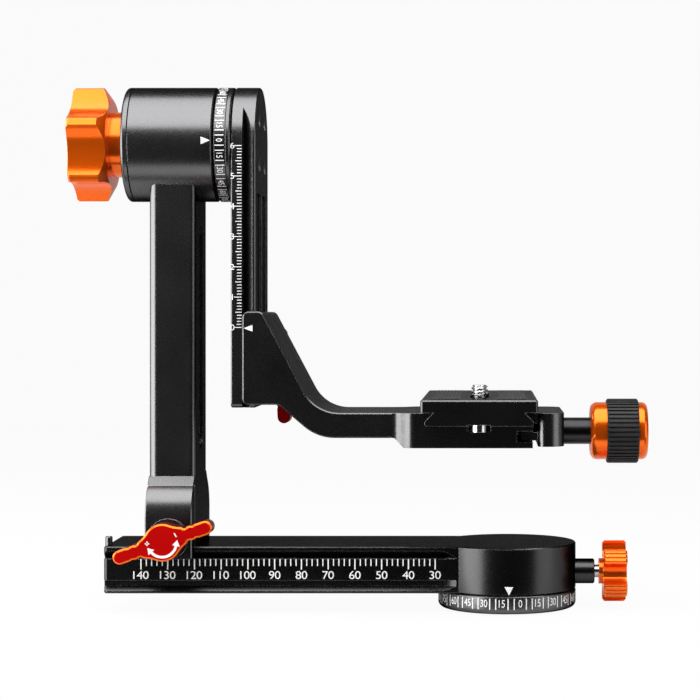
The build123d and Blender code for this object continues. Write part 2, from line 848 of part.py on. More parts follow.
# --- Tilt housing and its brake -----------------------------------------------------------------------
with BuildPart() as tilt_housing:
    rod(across(housing_left, tilt_height), housing_radius, housing_right - housing_left)
    chamfer(tilt_housing.edges().filter_by(GeomType.CIRCLE), housing_edge)
    rod(
        across(housing_left - 1, tilt_height),
        housing_bore,
        housing_right - housing_left + 2,
        Mode.SUBTRACT,
    )
    rod(
        across(housing_left - 1, tilt_height),
        cap_spigot_radius + seat_gap,
        cap_spigot_depth + 1 + face_gap,
        Mode.SUBTRACT,
    )
    for screw_side in (-1, 1):
        screw_x = column_centre + screw_side * housing_screw_spread / 2
        rod(
            level(tilt_height - housing_screw_seat, screw_x),
            housing_screw_head_radius + face_gap,
            housing_screw_seat,
            Mode.SUBTRACT,
        )
        rod(
            level(tilt_height - housing_radius - 1, screw_x),
            housing_screw_radius + face_gap,
            housing_radius + 1,
            Mode.SUBTRACT,
        )
save(tilt_housing.part, "tilt_housing")

with BuildPart() as housing_screws:
    for screw_side in (-1, 1):
        screw_x = column_centre + screw_side * housing_screw_spread / 2
        add(
            socket_screw(
                level(tilt_height - housing_screw_seat, screw_x),
                housing_screw_radius,
                housing_screw_length,
                housing_screw_head_radius,
                housing_screw_head_height,
            )
        )
save(housing_screws.part, "housing_screws")

with BuildPart() as tilt_bush_outer:
    tube(
        across(outer_bush_left, tilt_height),
        housing_bore - seat_gap,
        tilt_shaft_radius + run_gap,
        tilt_bush_length,
    )
save(tilt_bush_outer.part, "tilt_bush_outer")

with BuildPart() as tilt_bush_inner:
    tube(
        across(housing_right - face_gap, tilt_height),
        housing_bore - seat_gap,
        tilt_shaft_radius + run_gap,
        -tilt_inner_bush_length,
    )
save(tilt_bush_inner.part, "tilt_bush_inner")

# The end cap closes the housing; the knob's screw is threaded through it and presses the brake disc.
with BuildPart() as tilt_end_cap:
    rod(across(cap_left, tilt_height), housing_radius, cap_thickness)
    fillet(tilt_end_cap.edges().filter_by(GeomType.CIRCLE).sort_by(Axis.X)[0], cap_edge)
    rod(across(housing_left, tilt_height), cap_spigot_radius, cap_spigot_depth)
    rod(
        across(brake_room_left, tilt_height),
        housing_bore,
        housing_right - brake_room_left,
        Mode.SUBTRACT,
    )
    rod(
        across(cap_left - 1, tilt_height),
        tilt_stud_radius + run_gap,
        cap_thickness + cap_spigot_depth + 1,
        Mode.SUBTRACT,
    )
save(tilt_end_cap.part, "tilt_end_cap")

with BuildPart() as tilt_brake_disc:
    rod(across(brake_left, tilt_height), brake_disc_radius, brake_disc_height)
save(tilt_brake_disc.part, "tilt_brake_disc")

with BuildPart() as tilt_stud:
    rod(across(brake_left - run_gap, tilt_height), tilt_stud_radius, -tilt_stud_length)
save(tilt_stud.part, "tilt_stud")

# Six wide hollows between narrow lobes with rounded corners; behind the rim the knob is bevelled back.
with BuildPart() as tilt_knob:
    with BuildSketch(across(tilt_knob_left, tilt_height)) as tilt_lobes:
        Circle(tilt_knob_radius)
        hollow_ring = tilt_scallop_floor + tilt_scallop_radius
        with PolarLocations(hollow_ring, tilt_lobe_count, front_angle + tilt_knob_turn):
            Circle(tilt_scallop_radius, mode=Mode.SUBTRACT)
        fillet(tilt_lobes.vertices(), tilt_lobe_corner)
    extrude(tilt_lobes.sketch, amount=tilt_rim_length + tilt_cone_length)
    with BuildSketch(facing_front(0, 0, tilt_height)) as tilt_turned:
        with BuildLine():
            Polyline(
                (tilt_knob_left, 0),
                (tilt_knob_left, tilt_knob_radius - tilt_knob_edge),
                (tilt_knob_left + tilt_knob_edge, tilt_knob_radius),
                (tilt_rim_right, tilt_knob_radius),
                (tilt_collar_left, tilt_back_radius),
                (tilt_collar_left, 0),
                close=True,
            )
        make_face()
    revolve(tilt_turned.sketch, Axis((0, 0, tilt_height), (1, 0, 0)), mode=Mode.INTERSECT)
    rod(across(tilt_collar_left, tilt_height), tilt_collar_radius, tilt_collar_length)
    rod(
        across(tilt_collar_left + tilt_collar_length + 1, tilt_height),
        tilt_stud_radius + seat_gap,
        brake_left - run_gap - tilt_stud_length - face_gap - (tilt_collar_left + tilt_collar_length + 1),
        Mode.SUBTRACT,
    )
save(tilt_knob.part, "tilt_knob")


# --- Swing stage --------------------------------------------------------------------------------------
hub_screw_seat = swing_right - hub_screw_head_height - face_gap

with BuildPart() as tilt_shaft:
    rod(across(shaft_left, tilt_height), tilt_shaft_radius, hub_left - shaft_left)
    rod(across(hub_left, tilt_height), hub_radius, hub_right - hub_left)
    with BuildSketch(across(hub_right, tilt_height)) as hub_holes:
        with PolarLocations(hub_screw_ring, hub_screw_count, start_angle=45):
            Circle(hub_screw_radius + seat_gap)
    extrude(
        hub_holes.sketch,
        amount=-(hub_screw_length - (hub_screw_seat - hub_right) + face_gap),
        mode=Mode.SUBTRACT,
    )
save(tilt_shaft.part, "tilt_shaft")

with BuildPart() as tilt_shaft_nut:
    tube(
        across(shaft_left, tilt_height),
        brake_disc_radius,
        tilt_shaft_radius + seat_gap,
        tilt_nut_height,
    )
save(tilt_shaft_nut.part, "tilt_shaft_nut")

with BuildPart() as tilt_scale_ring:
    rod(across(scale_ring_left, tilt_height), housing_radius, scale_ring_length)
    chamfer(tilt_scale_ring.edges().filter_by(GeomType.CIRCLE), scale_ring_edge)
    rod(
        across(scale_ring_left - 1, tilt_height),
        hub_radius + seat_gap,
        scale_ring_length + 2,
        Mode.SUBTRACT,
    )
save(tilt_scale_ring.part, "tilt_scale_ring")

with BuildPart() as swing_collar:
    rod(across(scale_ring_right + seat_gap, tilt_height), housing_radius, swing_collar_length)
    chamfer(swing_collar.edges().filter_by(GeomType.CIRCLE).sort_by(Axis.X)[-1], scale_ring_edge * 2)
    rod(
        across(scale_ring_left, tilt_height),
        hub_radius + seat_gap,
        scale_ring_length * 2,
        Mode.SUBTRACT,
    )
save(swing_collar.part, "swing_collar")

# The swing arm is a flat bar with a round top and a clamping groove along both narrow faces.
swing_groove = groove_outline(swing_left + swing_land, 1, swing_groove_depth, swing_groove_floor)
with BuildPart() as swing_arm:
    swing_crown = tilt_height + housing_radius - swing_half_width
    with BuildSketch(across(swing_left, swing_crown)) as swing_face:
        Circle(swing_half_width)
        Rectangle(
            2 * swing_half_width,
            swing_crown - swing_bottom,
            align=(Align.CENTER, Align.MAX),
        )
        fillet(swing_face.sketch_local.vertices().group_by(Axis.Y)[0], swing_bottom_round)
    extrude(swing_face.sketch, amount=swing_thickness)
    for end_face in swing_arm.faces().filter_by(Axis.X):
        chamfer(end_face.outer_wire().edges(), swing_edge)
    for side in (-1, 1):
        prism(
            level(swing_bottom - 1),
            [(x, side * (swing_half_width - depth)) for depth, x in swing_groove],
            tilt_height,
            Mode.SUBTRACT,
        )
        with BuildSketch(across(swing_right, (channel_low + channel_high) / 2)) as channel:
            with Locations((side * (channel_inner + channel_outer) / 2, 0)):
                RectangleRounded(
                    channel_outer - channel_inner,
                    channel_high - channel_low,
                    channel_corner,
                )
        extrude(channel.sketch, amount=-channel_depth, mode=Mode.SUBTRACT)
    with BuildSketch(across(hub_screw_seat, tilt_height)) as head_rooms:
        with PolarLocations(hub_screw_ring, hub_screw_count, start_angle=45):
            Circle(hub_screw_head_radius + face_gap)
    extrude(head_rooms.sketch, amount=swing_thickness, mode=Mode.SUBTRACT)
    with BuildSketch(across(swing_left - 1, tilt_height)) as shank_holes:
        with PolarLocations(hub_screw_ring, hub_screw_count, start_angle=45):
            Circle(hub_screw_radius + face_gap)
    extrude(shank_holes.sketch, amount=swing_thickness, mode=Mode.SUBTRACT)
    rod(
        across(swing_right, swing_stop_z),
        hub_screw_radius + seat_gap,
        -swing_stop_depth,
        Mode.SUBTRACT,
    )
save(swing_arm.part, "swing_arm")

with BuildPart() as swing_screws:
    for quarter in range(hub_screw_count):
        angle = math.radians(45 + quarter * 360 / hub_screw_count)
        seat = Plane(
            origin=(
                hub_screw_seat,
                hub_screw_ring * math.cos(angle),
                tilt_height + hub_screw_ring * math.sin(angle),
            ),
            x_dir=(0, 1, 0),
            z_dir=(1, 0, 0),
        )
        add(
            socket_screw(
                seat,
                hub_screw_radius,
                hub_screw_length,
                hub_screw_head_radius,
                hub_screw_head_height,
            )
        )
save(swing_screws.part, "swing_screws")

with BuildPart() as swing_stop_screw:
    add(
        socket_screw(
            across(swing_right, swing_stop_z),
            hub_screw_radius,
            swing_stop_depth - face_gap,
            swing_stop_radius,
            swing_stop_height,
        )
    )
save(swing_stop_screw.part, "swing_stop_screw")


# --- Cradle stage -------------------------------------------------------------------------------------
swing_flank = (
    swing_left
    + swing_land
    + swing_groove_floor
    + swing_groove_depth
    - swing_half_width
    - jaw_gap * math.sqrt(2)
)


def bracket_outline():
    """The bracket seen from the side: tall plate, slanted throat and level neck, as a closed wire."""
    with BuildLine() as outline:
        FilletPolyline(
            (widening_start + 1, neck_high),
            (cradle_left + slant_foot_reach, neck_high),
            (cradle_left + cradle_top_width, cradle_high),
            (cradle_left, cradle_high),
            (cradle_left, cradle_low),
            (cradle_left + underside_elbow_reach, cradle_low),
            (cradle_left + neck_elbow_reach, neck_low),
            (widening_start + 1, neck_low),
            radius=[
                slant_throat_radius,
                cradle_corner_radius,
                cradle_corner_radius,
                cradle_corner_radius,
                underside_nose_radius,
                underside_throat_radius,
            ],
        )
        Line((widening_start + 1, neck_low), (widening_start + 1, neck_high))
    return outline.line


def arm_space(side):
    """The room for one half of the swing arm in plan, less the hook that reaches into its groove."""
    beyond = cradle_left - 1
    return [
        (beyond, 0),
        (beyond, side * (beyond - swing_flank)),
        (swing_flank + cradle_wall_inner, side * cradle_wall_inner),
        (cradle_face, side * cradle_wall_inner),
        (cradle_face, 0),
    ]


def bracket_plate(near, far):
    """The bracket's side shape, solid between two places along Y."""
    outline = bracket_outline()
    with BuildSketch(facing_front(0, far, 0)) as side_face:
        add(outline)
        make_face()
    extrude(side_face.sketch, amount=far - near)


# Bracket and clamp body are milled in one piece: the plate grips the swing arm, the clamp carries
# the plate, and the wall between them widens in a smooth curve.
with BuildPart() as cradle:
    bracket_plate(-cradle_half_width, cradle_half_width)
    for end_face in cradle.faces().filter_by(Axis.Y):
        sharp = [edge for edge in end_face.outer_wire().edges() if edge.center().X < widening_start]
        chamfer(sharp, cradle_edge)
    with BuildSketch(level(clamp_low)) as clamp_plan:
        with BuildLine():
            for side in (-1, 1):
                Spline(
                    (widening_start, side * cradle_half_width),
                    (clamp_left, side * clamp_half_length),
                    tangents=[(1, 0), (1, 0)],
                )
                Line((clamp_left, side * clamp_half_length), (clamp_right, side * clamp_half_length))
            Line((widening_start, -cradle_half_width), (widening_start, cradle_half_width))
            Line((clamp_right, -clamp_half_length), (clamp_right, clamp_half_length))
        make_face()
    extrude(clamp_plan.sketch, amount=neck_high - clamp_low)
    prism(
        facing_front(0, 0, 0),
        [
            (widening_start - 1, clamp_low - 1),
            (widening_start - 1, neck_low),
            (widening_start + 1, neck_low),
            (widening_start + 1 + widening_slope + 1, clamp_low - 1),
        ],
        clamp_half_length + 1,
        Mode.SUBTRACT,
        both=True,
    )
    # dovetail channel for the plate, open to the front, the rear and the jaw
    opening_left = plate_centre - dovetail_half - jaw_gap
    lip_drop = dovetail_low + jaw_gap * (math.sqrt(2) - 1)
    prism(
        facing_front(0, 0, 0),
        [
            (opening_left, clamp_floor),
            (opening_left, lip_drop),
            (opening_left + (neck_high + 1 - lip_drop), neck_high + 1),
            (clamp_right + 1, neck_high + 1),
            (clamp_right + 1, clamp_floor),
        ],
        clamp_half_length + 1,
        Mode.SUBTRACT,
        both=True,
    )
    # room for the jaw's tongue, under the floor
    with Locations(
        ((tongue_slot_left + clamp_right) / 2 + 1, 0, (tongue_slot_low + tongue_slot_high) / 2)
    ):
        Box(
            clamp_right - tongue_slot_left + 2,
            2 * clamp_half_length + 2,
            tongue_slot_high - tongue_slot_low,
            mode=Mode.SUBTRACT,
        )
    # pockets at both ends of the floor, in which the plate's stop screws travel
    with GridLocations(0, 2 * clamp_half_length - floor_pocket_length, 1, 2):
        with Locations((plate_centre, 0, clamp_floor - floor_pocket_depth / 2)):
            Box(2 * floor_pocket_half, floor_pocket_length, floor_pocket_depth, mode=Mode.SUBTRACT)
    rod(
        across(qr_screw_left - face_gap, qr_axis_height),
        qr_screw_radius + run_gap,
        clamp_right - qr_screw_left + 1,
        Mode.SUBTRACT,
    )
    with BuildSketch(across(qr_pin_left - face_gap, qr_axis_height)) as guide_holes:
        with Locations((-qr_pin_side, 0), (qr_pin_side, 0)):
            Circle(qr_pin_radius + seat_gap)
    extrude(guide_holes.sketch, amount=clamp_right - qr_pin_left, mode=Mode.SUBTRACT)
    # room for the swing arm, the rear jaw and the arm's stop screw
    for side in (-1, 1):
        prism(level(cradle_low - 1), arm_space(side), cradle_high - cradle_low + 2, Mode.SUBTRACT)
    with Locations(
        (cradle_jaw_right + seam_gap / 2, cradle_jaw_inner - seam_gap / 2, clamp_low)
    ):
        Box(
            cradle_jaw_right - cradle_left + 2,
            cradle_half_width,
            cradle_high - clamp_low + 2,
            align=(Align.MAX, Align.MIN, Align.MIN),
            mode=Mode.SUBTRACT,
        )
    with Locations((swing_right, 0, cradle_low - 1)):
        Box(
            swing_stop_height + face_gap,
            2 * (swing_stop_radius + face_gap),
            swing_stop_z + swing_stop_radius + face_gap - (cradle_low - 1),
            align=(Align.MIN, Align.CENTER, Align.MIN),
            mode=Mode.SUBTRACT,
        )
    rod(
        facing_rear(cradle_screw_x, cradle_screw_reach - face_gap, cradle_screw_z),
        clamp_screw_radius + run_gap,
        cradle_jaw_inner - cradle_screw_reach + 1,
        Mode.SUBTRACT,
    )
    for pin_z in (cradle_screw_z - cradle_pin_drop, cradle_screw_z + cradle_pin_rise):
        rod(
            facing_rear(
                cradle_screw_x,
                cradle_jaw_inner + jaw_pin_in_jaw - cradle_pin_length - face_gap,
                pin_z,
            ),
            jaw_pin_radius + seat_gap,
            cradle_pin_length,
            Mode.SUBTRACT,
        )
save(cradle.part, "cradle")

with BuildPart() as cradle_jaw:
    bracket_plate(cradle_jaw_inner, cradle_half_width)
    with Locations((cradle_jaw_right, 0, clamp_low - 1)):
        Box(
            -cradle_jaw_right,
            4 * cradle_half_width,
            cradle_high,
            align=(Align.MIN, Align.CENTER, Align.MIN),
            mode=Mode.SUBTRACT,
        )
    rear_edges = cradle_jaw.faces().filter_by(Axis.Y).sort_by(Axis.Y)[-1].outer_wire().edges()
    chamfer([edge for edge in rear_edges if edge.center().X < cradle_jaw_right - 1], cradle_edge)
    prism(level(cradle_low - 1), arm_space(1), cradle_high - cradle_low + 2, Mode.SUBTRACT)
    rod(
        facing_rear(cradle_screw_x, cradle_half_width - face_gap, cradle_screw_z),
        jaw_boss_radius,
        jaw_boss_height + face_gap,
    )
    rod(
        facing_rear(cradle_screw_x, cradle_jaw_inner - 1, cradle_screw_z),
        clamp_screw_radius + jaw_gap,
        cradle_half_width,
        Mode.SUBTRACT,
    )
    for pin_z in (cradle_screw_z - cradle_pin_drop, cradle_screw_z + cradle_pin_rise):
        rod(
            facing_rear(cradle_screw_x, cradle_jaw_inner - 1, pin_z),
            jaw_pin_radius + run_gap,
            jaw_pin_in_jaw + 1 + face_gap,
            Mode.SUBTRACT,
        )
save(cradle_jaw.part, "cradle_jaw")

with BuildPart() as cradle_jaw_pins:
    for pin_z in (cradle_screw_z - cradle_pin_drop, cradle_screw_z + cradle_pin_rise):
        rod(
            facing_rear(
                cradle_screw_x,
                cradle_jaw_inner + jaw_pin_in_jaw - cradle_pin_length,
                pin_z,
            ),
            jaw_pin_radius,
            cradle_pin_length,
        )
save(cradle_jaw_pins.part, "cradle_jaw_pins")

cradle_lever_plane = facing_rear(cradle_screw_x, lever_start_rear, cradle_screw_z, cradle_lever_tilt)
save(make_lever(cradle_lever_plane), "cradle_lever")
save(make_insert(cradle_lever_plane), "cradle_lever_hub")

with BuildPart() as cradle_clamp_screw:
    rod(
        cradle_lever_plane.offset(lever_insert_depth),
        clamp_screw_radius,
        -(lever_insert_depth + lever_start_rear - cradle_screw_reach),
    )
save(cradle_clamp_screw.part, "cradle_clamp_screw")


# --- Quick-release jaw and knob -----------------------------------------------------------------------
# The jaw is a plate with round upright corners; its lip holds the dovetail, its tongue runs in the slot.
with BuildPart() as qr_jaw:
    with BuildSketch(level(qr_jaw_low)) as jaw_plan:
        with Locations(((qr_jaw_left + qr_jaw_right) / 2, 0)):
            Rectangle(qr_jaw_thickness, 2 * clamp_half_length)
        fillet(jaw_plan.vertices().group_by(Axis.X)[0], qr_jaw_nose)
        fillet(jaw_plan.vertices().group_by(Axis.X)[-1], qr_jaw_corner)
    extrude(jaw_plan.sketch, amount=neck_high - qr_jaw_low)
    jaw_root = qr_jaw_left + qr_jaw_nose
    tongue_high = tongue_slot_high - tongue_inset
    tongue_low = tongue_slot_low + tongue_inset
    lip_x = plate_centre + dovetail_half + jaw_gap
    prism(
        facing_front(0, 0, 0),
        [
            (lip_x - (neck_high - lip_drop), neck_high),
            (lip_x, lip_drop),
            (lip_x, clamp_floor + face_gap),
            (jaw_root, clamp_floor + face_gap),
            (jaw_root, neck_high),
        ],
        clamp_half_length - qr_jaw_nose,
        both=True,
    )
    with BuildSketch(facing_front(0, 0, 0)) as tongue:
        with BuildLine():
            Polyline(
                (jaw_root, tongue_high),
                (tongue_left, tongue_high),
                (tongue_left, tongue_low),
                (qr_jaw_left, tongue_low),
                (qr_jaw_left, tongue_low - tongue_root),
                (jaw_root, tongue_low - tongue_root),
                close=True,
            )
        make_face()
        fillet(tongue.vertices().group_by(Axis.X)[0], tongue_round)
        fillet(
            tongue.vertices().filter_by(lambda v: abs(v.X - qr_jaw_left) + abs(v.Z - tongue_low) < 0.01),
            tongue_root * 0.95,
        )
    extrude(tongue.sketch, amount=clamp_half_length - qr_jaw_nose, both=True)
    rod(across(0, qr_axis_height), qr_screw_radius + run_gap, qr_jaw_right + 1, Mode.SUBTRACT)
    with BuildSketch(across(0, qr_axis_height)) as jaw_guide_holes:
        with Locations((-qr_pin_side, 0), (qr_pin_side, 0)):
            Circle(qr_pin_radius + run_gap)
    extrude(
        jaw_guide_holes.sketch,
        amount=qr_pin_left + qr_pin_length + face_gap,
        mode=Mode.SUBTRACT,
    )
save(qr_jaw.part, "qr_jaw")

with BuildPart() as qr_guide_pins:
    with BuildSketch(across(qr_pin_left, qr_axis_height)) as pin_ends:
        with Locations((-qr_pin_side, 0), (qr_pin_side, 0)):
            Circle(qr_pin_radius)
    extrude(pin_ends.sketch, amount=qr_pin_length)
save(qr_guide_pins.part, "qr_guide_pins")

# One stepped spindle: a thread in the clamp body, a thick neck between the jaw and the knob.
with BuildPart() as qr_shaft:
    rod(
        across(qr_screw_left, qr_axis_height),
        qr_screw_radius,
        qr_jaw_right + face_gap - qr_screw_left,
    )
    rod(
        across(qr_jaw_right + face_gap, qr_axis_height),
        qr_neck_radius,
        qr_neck_length - face_gap + qr_knob_socket,
    )
save(qr_shaft.part, "qr_shaft")

with BuildPart() as qr_knob:
    rod(across(qr_knob_left, qr_axis_height), qr_knob_radius, qr_knob_length)
    knob_rims = qr_knob.edges().filter_by(GeomType.CIRCLE).sort_by(Axis.X)
    fillet(knob_rims[0], qr_knob_shoulder)
    fillet(knob_rims[-1], qr_knob_nose)
    tube(
        across(qr_knob_left + grip_start, qr_axis_height),
        qr_knob_radius + 1,
        qr_knob_radius - grip_depth,
        grip_length,
        Mode.SUBTRACT,
    )
    rod(
        across(qr_knob_left - 1, qr_axis_height),
        qr_neck_radius + seat_gap,
        qr_knob_socket + 1 + face_gap,
        Mode.SUBTRACT,
    )
save(qr_knob.part, "qr_knob")

# The rubber sleeve sits in the knob's groove; straight ribs run along it all the way round.
with BuildPart() as qr_knob_grip:
    rod(across(qr_knob_left + grip_start + seat_gap, qr_axis_height), grip_radius, grip_length - 2 * seat_gap)
    chamfer(qr_knob_grip.edges().filter_by(GeomType.CIRCLE), grip_edge)
    with BuildSketch(across(qr_knob_left + grip_start, qr_axis_height)) as grip_cuts:
        Circle(qr_knob_radius - grip_depth + seat_gap)
        with PolarLocations(grip_radius, grip_rib_count):
            Rectangle(2 * grip_rib_cut, math.pi * grip_radius / grip_rib_count)
    extrude(grip_cuts.sketch, amount=grip_length, mode=Mode.SUBTRACT)
save(qr_knob_grip.part, "qr_knob_grip")


# --- Quick-release plate ------------------------------------------------------------------------------
head_slot_top = plate_flange_low + head_slot_rise
head_slot_half_length = screw_slot_half_length + (head_slot_width - screw_slot_width) / 2
pad_low = plate_high - pad_pocket_depth

with BuildPart() as qr_plate:
    prism(
        facing_front(plate_centre, 0, 0),
        [
            (-plate_half_width, plate_high),
            (-plate_half_width, plate_flange_low),
            (-dovetail_top_half, plate_flange_low),
            (-dovetail_half, dovetail_low),
            (-dovetail_half, plate_low),
            (dovetail_half, plate_low),
            (dovetail_half, dovetail_low),
            (dovetail_top_half, plate_flange_low),
            (plate_half_width, plate_flange_low),
            (plate_half_width, plate_high),
        ],
        plate_half_length,
        both=True,
    )
    flange_corners = qr_plate.edges().filter_by(Axis.Z).filter_by(
        lambda edge: abs(edge.center().X - plate_centre) > plate_half_width - 0.1
    )
    fillet(flange_corners, plate_corner_radius)
    dovetail_corners = qr_plate.edges().filter_by(Axis.Y).filter_by(
        lambda edge: abs(edge.center().X - plate_centre) > dovetail_half - 0.1
        and edge.center().Z < plate_flange_low - dovetail_round
    )
    fillet(dovetail_corners, dovetail_round)
    chamfer(qr_plate.faces().sort_by(Axis.Z)[-1].outer_wire().edges(), plate_edge)
    with BuildSketch(level(pad_low, plate_centre)) as pad_pockets:
        with GridLocations(2 * pad_centre_offset, 0, 2, 1):
            RectangleRounded(
                pad_width + 2 * seat_gap,
                2 * (pad_half_length + seat_gap),
                pad_corner_radius,
            )
    extrude(pad_pockets.sketch, amount=pad_pocket_depth + 1, mode=Mode.SUBTRACT)
    with BuildSketch(level(plate_low - 1, plate_centre)) as head_slot:
        SlotOverall(2 * head_slot_half_length, head_slot_width, rotation=90)
    extrude(head_slot.sketch, amount=head_slot_top - plate_low + 1, mode=Mode.SUBTRACT)
    with BuildSketch(level(plate_low, plate_centre)) as screw_slot:
        SlotOverall(2 * screw_slot_half_length, screw_slot_width, rotation=90)
    extrude(screw_slot.sketch, amount=plate_high - plate_low + 1, mode=Mode.SUBTRACT)
    with BuildSketch(level(plate_low - 1, plate_centre)) as stop_holes:
        with GridLocations(0, 2 * safety_screw_y, 1, 2):
            Circle(safety_screw_radius + seat_gap)
    stop_hole_depth = safety_relief_depth + safety_screw_length + face_gap
    extrude(stop_holes.sketch, amount=stop_hole_depth + 1, mode=Mode.SUBTRACT)
    # the stop screws sit in shallow reliefs that are open at the plate's ends
    relief_length = plate_half_length - safety_screw_y + safety_relief_half
    with GridLocations(0, 2 * plate_half_length - relief_length, 1, 2):
        with Locations((plate_centre, 0, plate_low + safety_relief_depth / 2)):
            Box(2 * safety_relief_half, relief_length, safety_relief_depth, mode=Mode.SUBTRACT)
save(qr_plate.part, "qr_plate")

with BuildPart() as plate_pads:
    with BuildSketch(level(pad_low, plate_centre)) as pad_faces:
        with GridLocations(2 * pad_centre_offset, 0, 2, 1):
            RectangleRounded(pad_width, 2 * pad_half_length, pad_corner_radius)
    extrude(pad_faces.sketch, amount=pad_pocket_depth + pad_stand)
save(plate_pads.part, "plate_pads")

# Two stop screws hang under the plate's ends, so that it can't slide out of a loose clamp.
with BuildPart() as safety_screws:
    for end in (-1, 1):
        seat = Plane(
            origin=(plate_centre, end * safety_screw_y, plate_low + safety_relief_depth),
            x_dir=(1, 0, 0),
            z_dir=(0, 0, -1),
        )
        add(
            socket_screw(
                seat,
                safety_screw_radius,
                safety_screw_length,
                safety_head_radius,
                safety_head_height,
            )
        )
save(safety_screws.part, "safety_screws")

# The camera screw is captive: its thread ends above the plate and a thinner neck runs in the slot.
washer_low = head_slot_top - face_gap - washer_height
camera_head_low = clamp_floor + camera_head_rise
camera_thread_low = plate_high + pad_stand + camera_thread_start
with BuildPart() as camera_screw:
    rod(
        level(camera_thread_low, plate_centre, camera_screw_y),
        camera_screw_radius,
        plate_high + camera_screw_stand - camera_thread_low,
    )
    chamfer(camera_screw.faces().sort_by(Axis.Z)[-1].edges(), plate_edge)
    rod(
        level(camera_head_low, plate_centre, camera_screw_y),
        camera_neck_radius,
        camera_thread_low - camera_head_low,
    )
    rod(
        level(camera_head_low, plate_centre, camera_screw_y),
        camera_head_radius,
        washer_low - face_gap - camera_head_low,
    )
    with BuildSketch(level(camera_head_low, plate_centre, camera_screw_y)) as coin_slot:
        Rectangle(camera_slot_width, 3 * camera_head_radius)
    extrude(coin_slot.sketch, amount=camera_slot_depth, mode=Mode.SUBTRACT)
save(camera_screw.part, "camera_screw")

with BuildPart() as camera_screw_washer:
    tube(
        level(washer_low, plate_centre, camera_screw_y),
        camera_head_radius,
        camera_screw_radius + run_gap,
        washer_height,
    )
save(camera_screw_washer.part, "camera_screw_washer")
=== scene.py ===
import math

import bpy
import numpy as np
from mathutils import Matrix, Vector


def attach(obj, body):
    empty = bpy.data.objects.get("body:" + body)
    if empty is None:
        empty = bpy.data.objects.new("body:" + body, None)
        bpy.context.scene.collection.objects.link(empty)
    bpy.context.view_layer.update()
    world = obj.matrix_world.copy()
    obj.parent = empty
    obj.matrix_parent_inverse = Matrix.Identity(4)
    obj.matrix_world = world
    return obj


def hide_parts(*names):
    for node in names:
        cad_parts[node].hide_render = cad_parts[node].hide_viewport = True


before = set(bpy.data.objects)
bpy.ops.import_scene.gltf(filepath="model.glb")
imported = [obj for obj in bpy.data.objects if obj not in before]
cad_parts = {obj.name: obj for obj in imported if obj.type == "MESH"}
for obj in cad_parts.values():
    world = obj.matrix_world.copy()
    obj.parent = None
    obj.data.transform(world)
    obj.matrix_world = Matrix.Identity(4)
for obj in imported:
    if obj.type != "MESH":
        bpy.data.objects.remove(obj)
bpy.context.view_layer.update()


# --- Base disc ------------------------------------------------------------------------------------
# Turned from aluminium, fine-blasted and anodised black. The edges are cut bright afterwards, and
# the degrees of the pan scale are printed in white round the rim.
MM = 0.001
BLACK_OXIDE = (0.118, 0.118, 0.120)
BRIGHT_EDGE = (0.62, 0.62, 0.64)
PRINT_WHITE = (0.86, 0.86, 0.84)
PRINT_LIFT = 0.03


class Wire:
    """A node's output that takes part in arithmetic; each operator adds its Math node."""

    def __init__(self, finish, socket):
        self.finish = finish
        self.socket = socket

    def math(self, operation, first, second=0.0):
        values = {0: first, 1: second}
        return self.finish.node("ShaderNodeMath", {"operation": operation}, values)

    def __add__(self, other):
        return self.math("ADD", self, other)

    def __radd__(self, other):
        return self.math("ADD", other, self)

    def __sub__(self, other):
        return self.math("SUBTRACT", self, other)

    def __rsub__(self, other):
        return self.math("SUBTRACT", other, self)

    def __mul__(self, other):
        return self.math("MULTIPLY", self, other)

    def __rmul__(self, other):
        return self.math("MULTIPLY", other, self)

    def __truediv__(self, other):
        return self.math("DIVIDE", self, other)

    def __gt__(self, other):
        return self.math("GREATER_THAN", self, other)

    def __lt__(self, other):
        return self.math("LESS_THAN", self, other)

    def __abs__(self):
        return self.math("ABSOLUTE", self)

    def held(self):
        """The value kept between 0 and 1."""
        return self.math("MINIMUM", self.math("MAXIMUM", self, 0.0), 1.0)


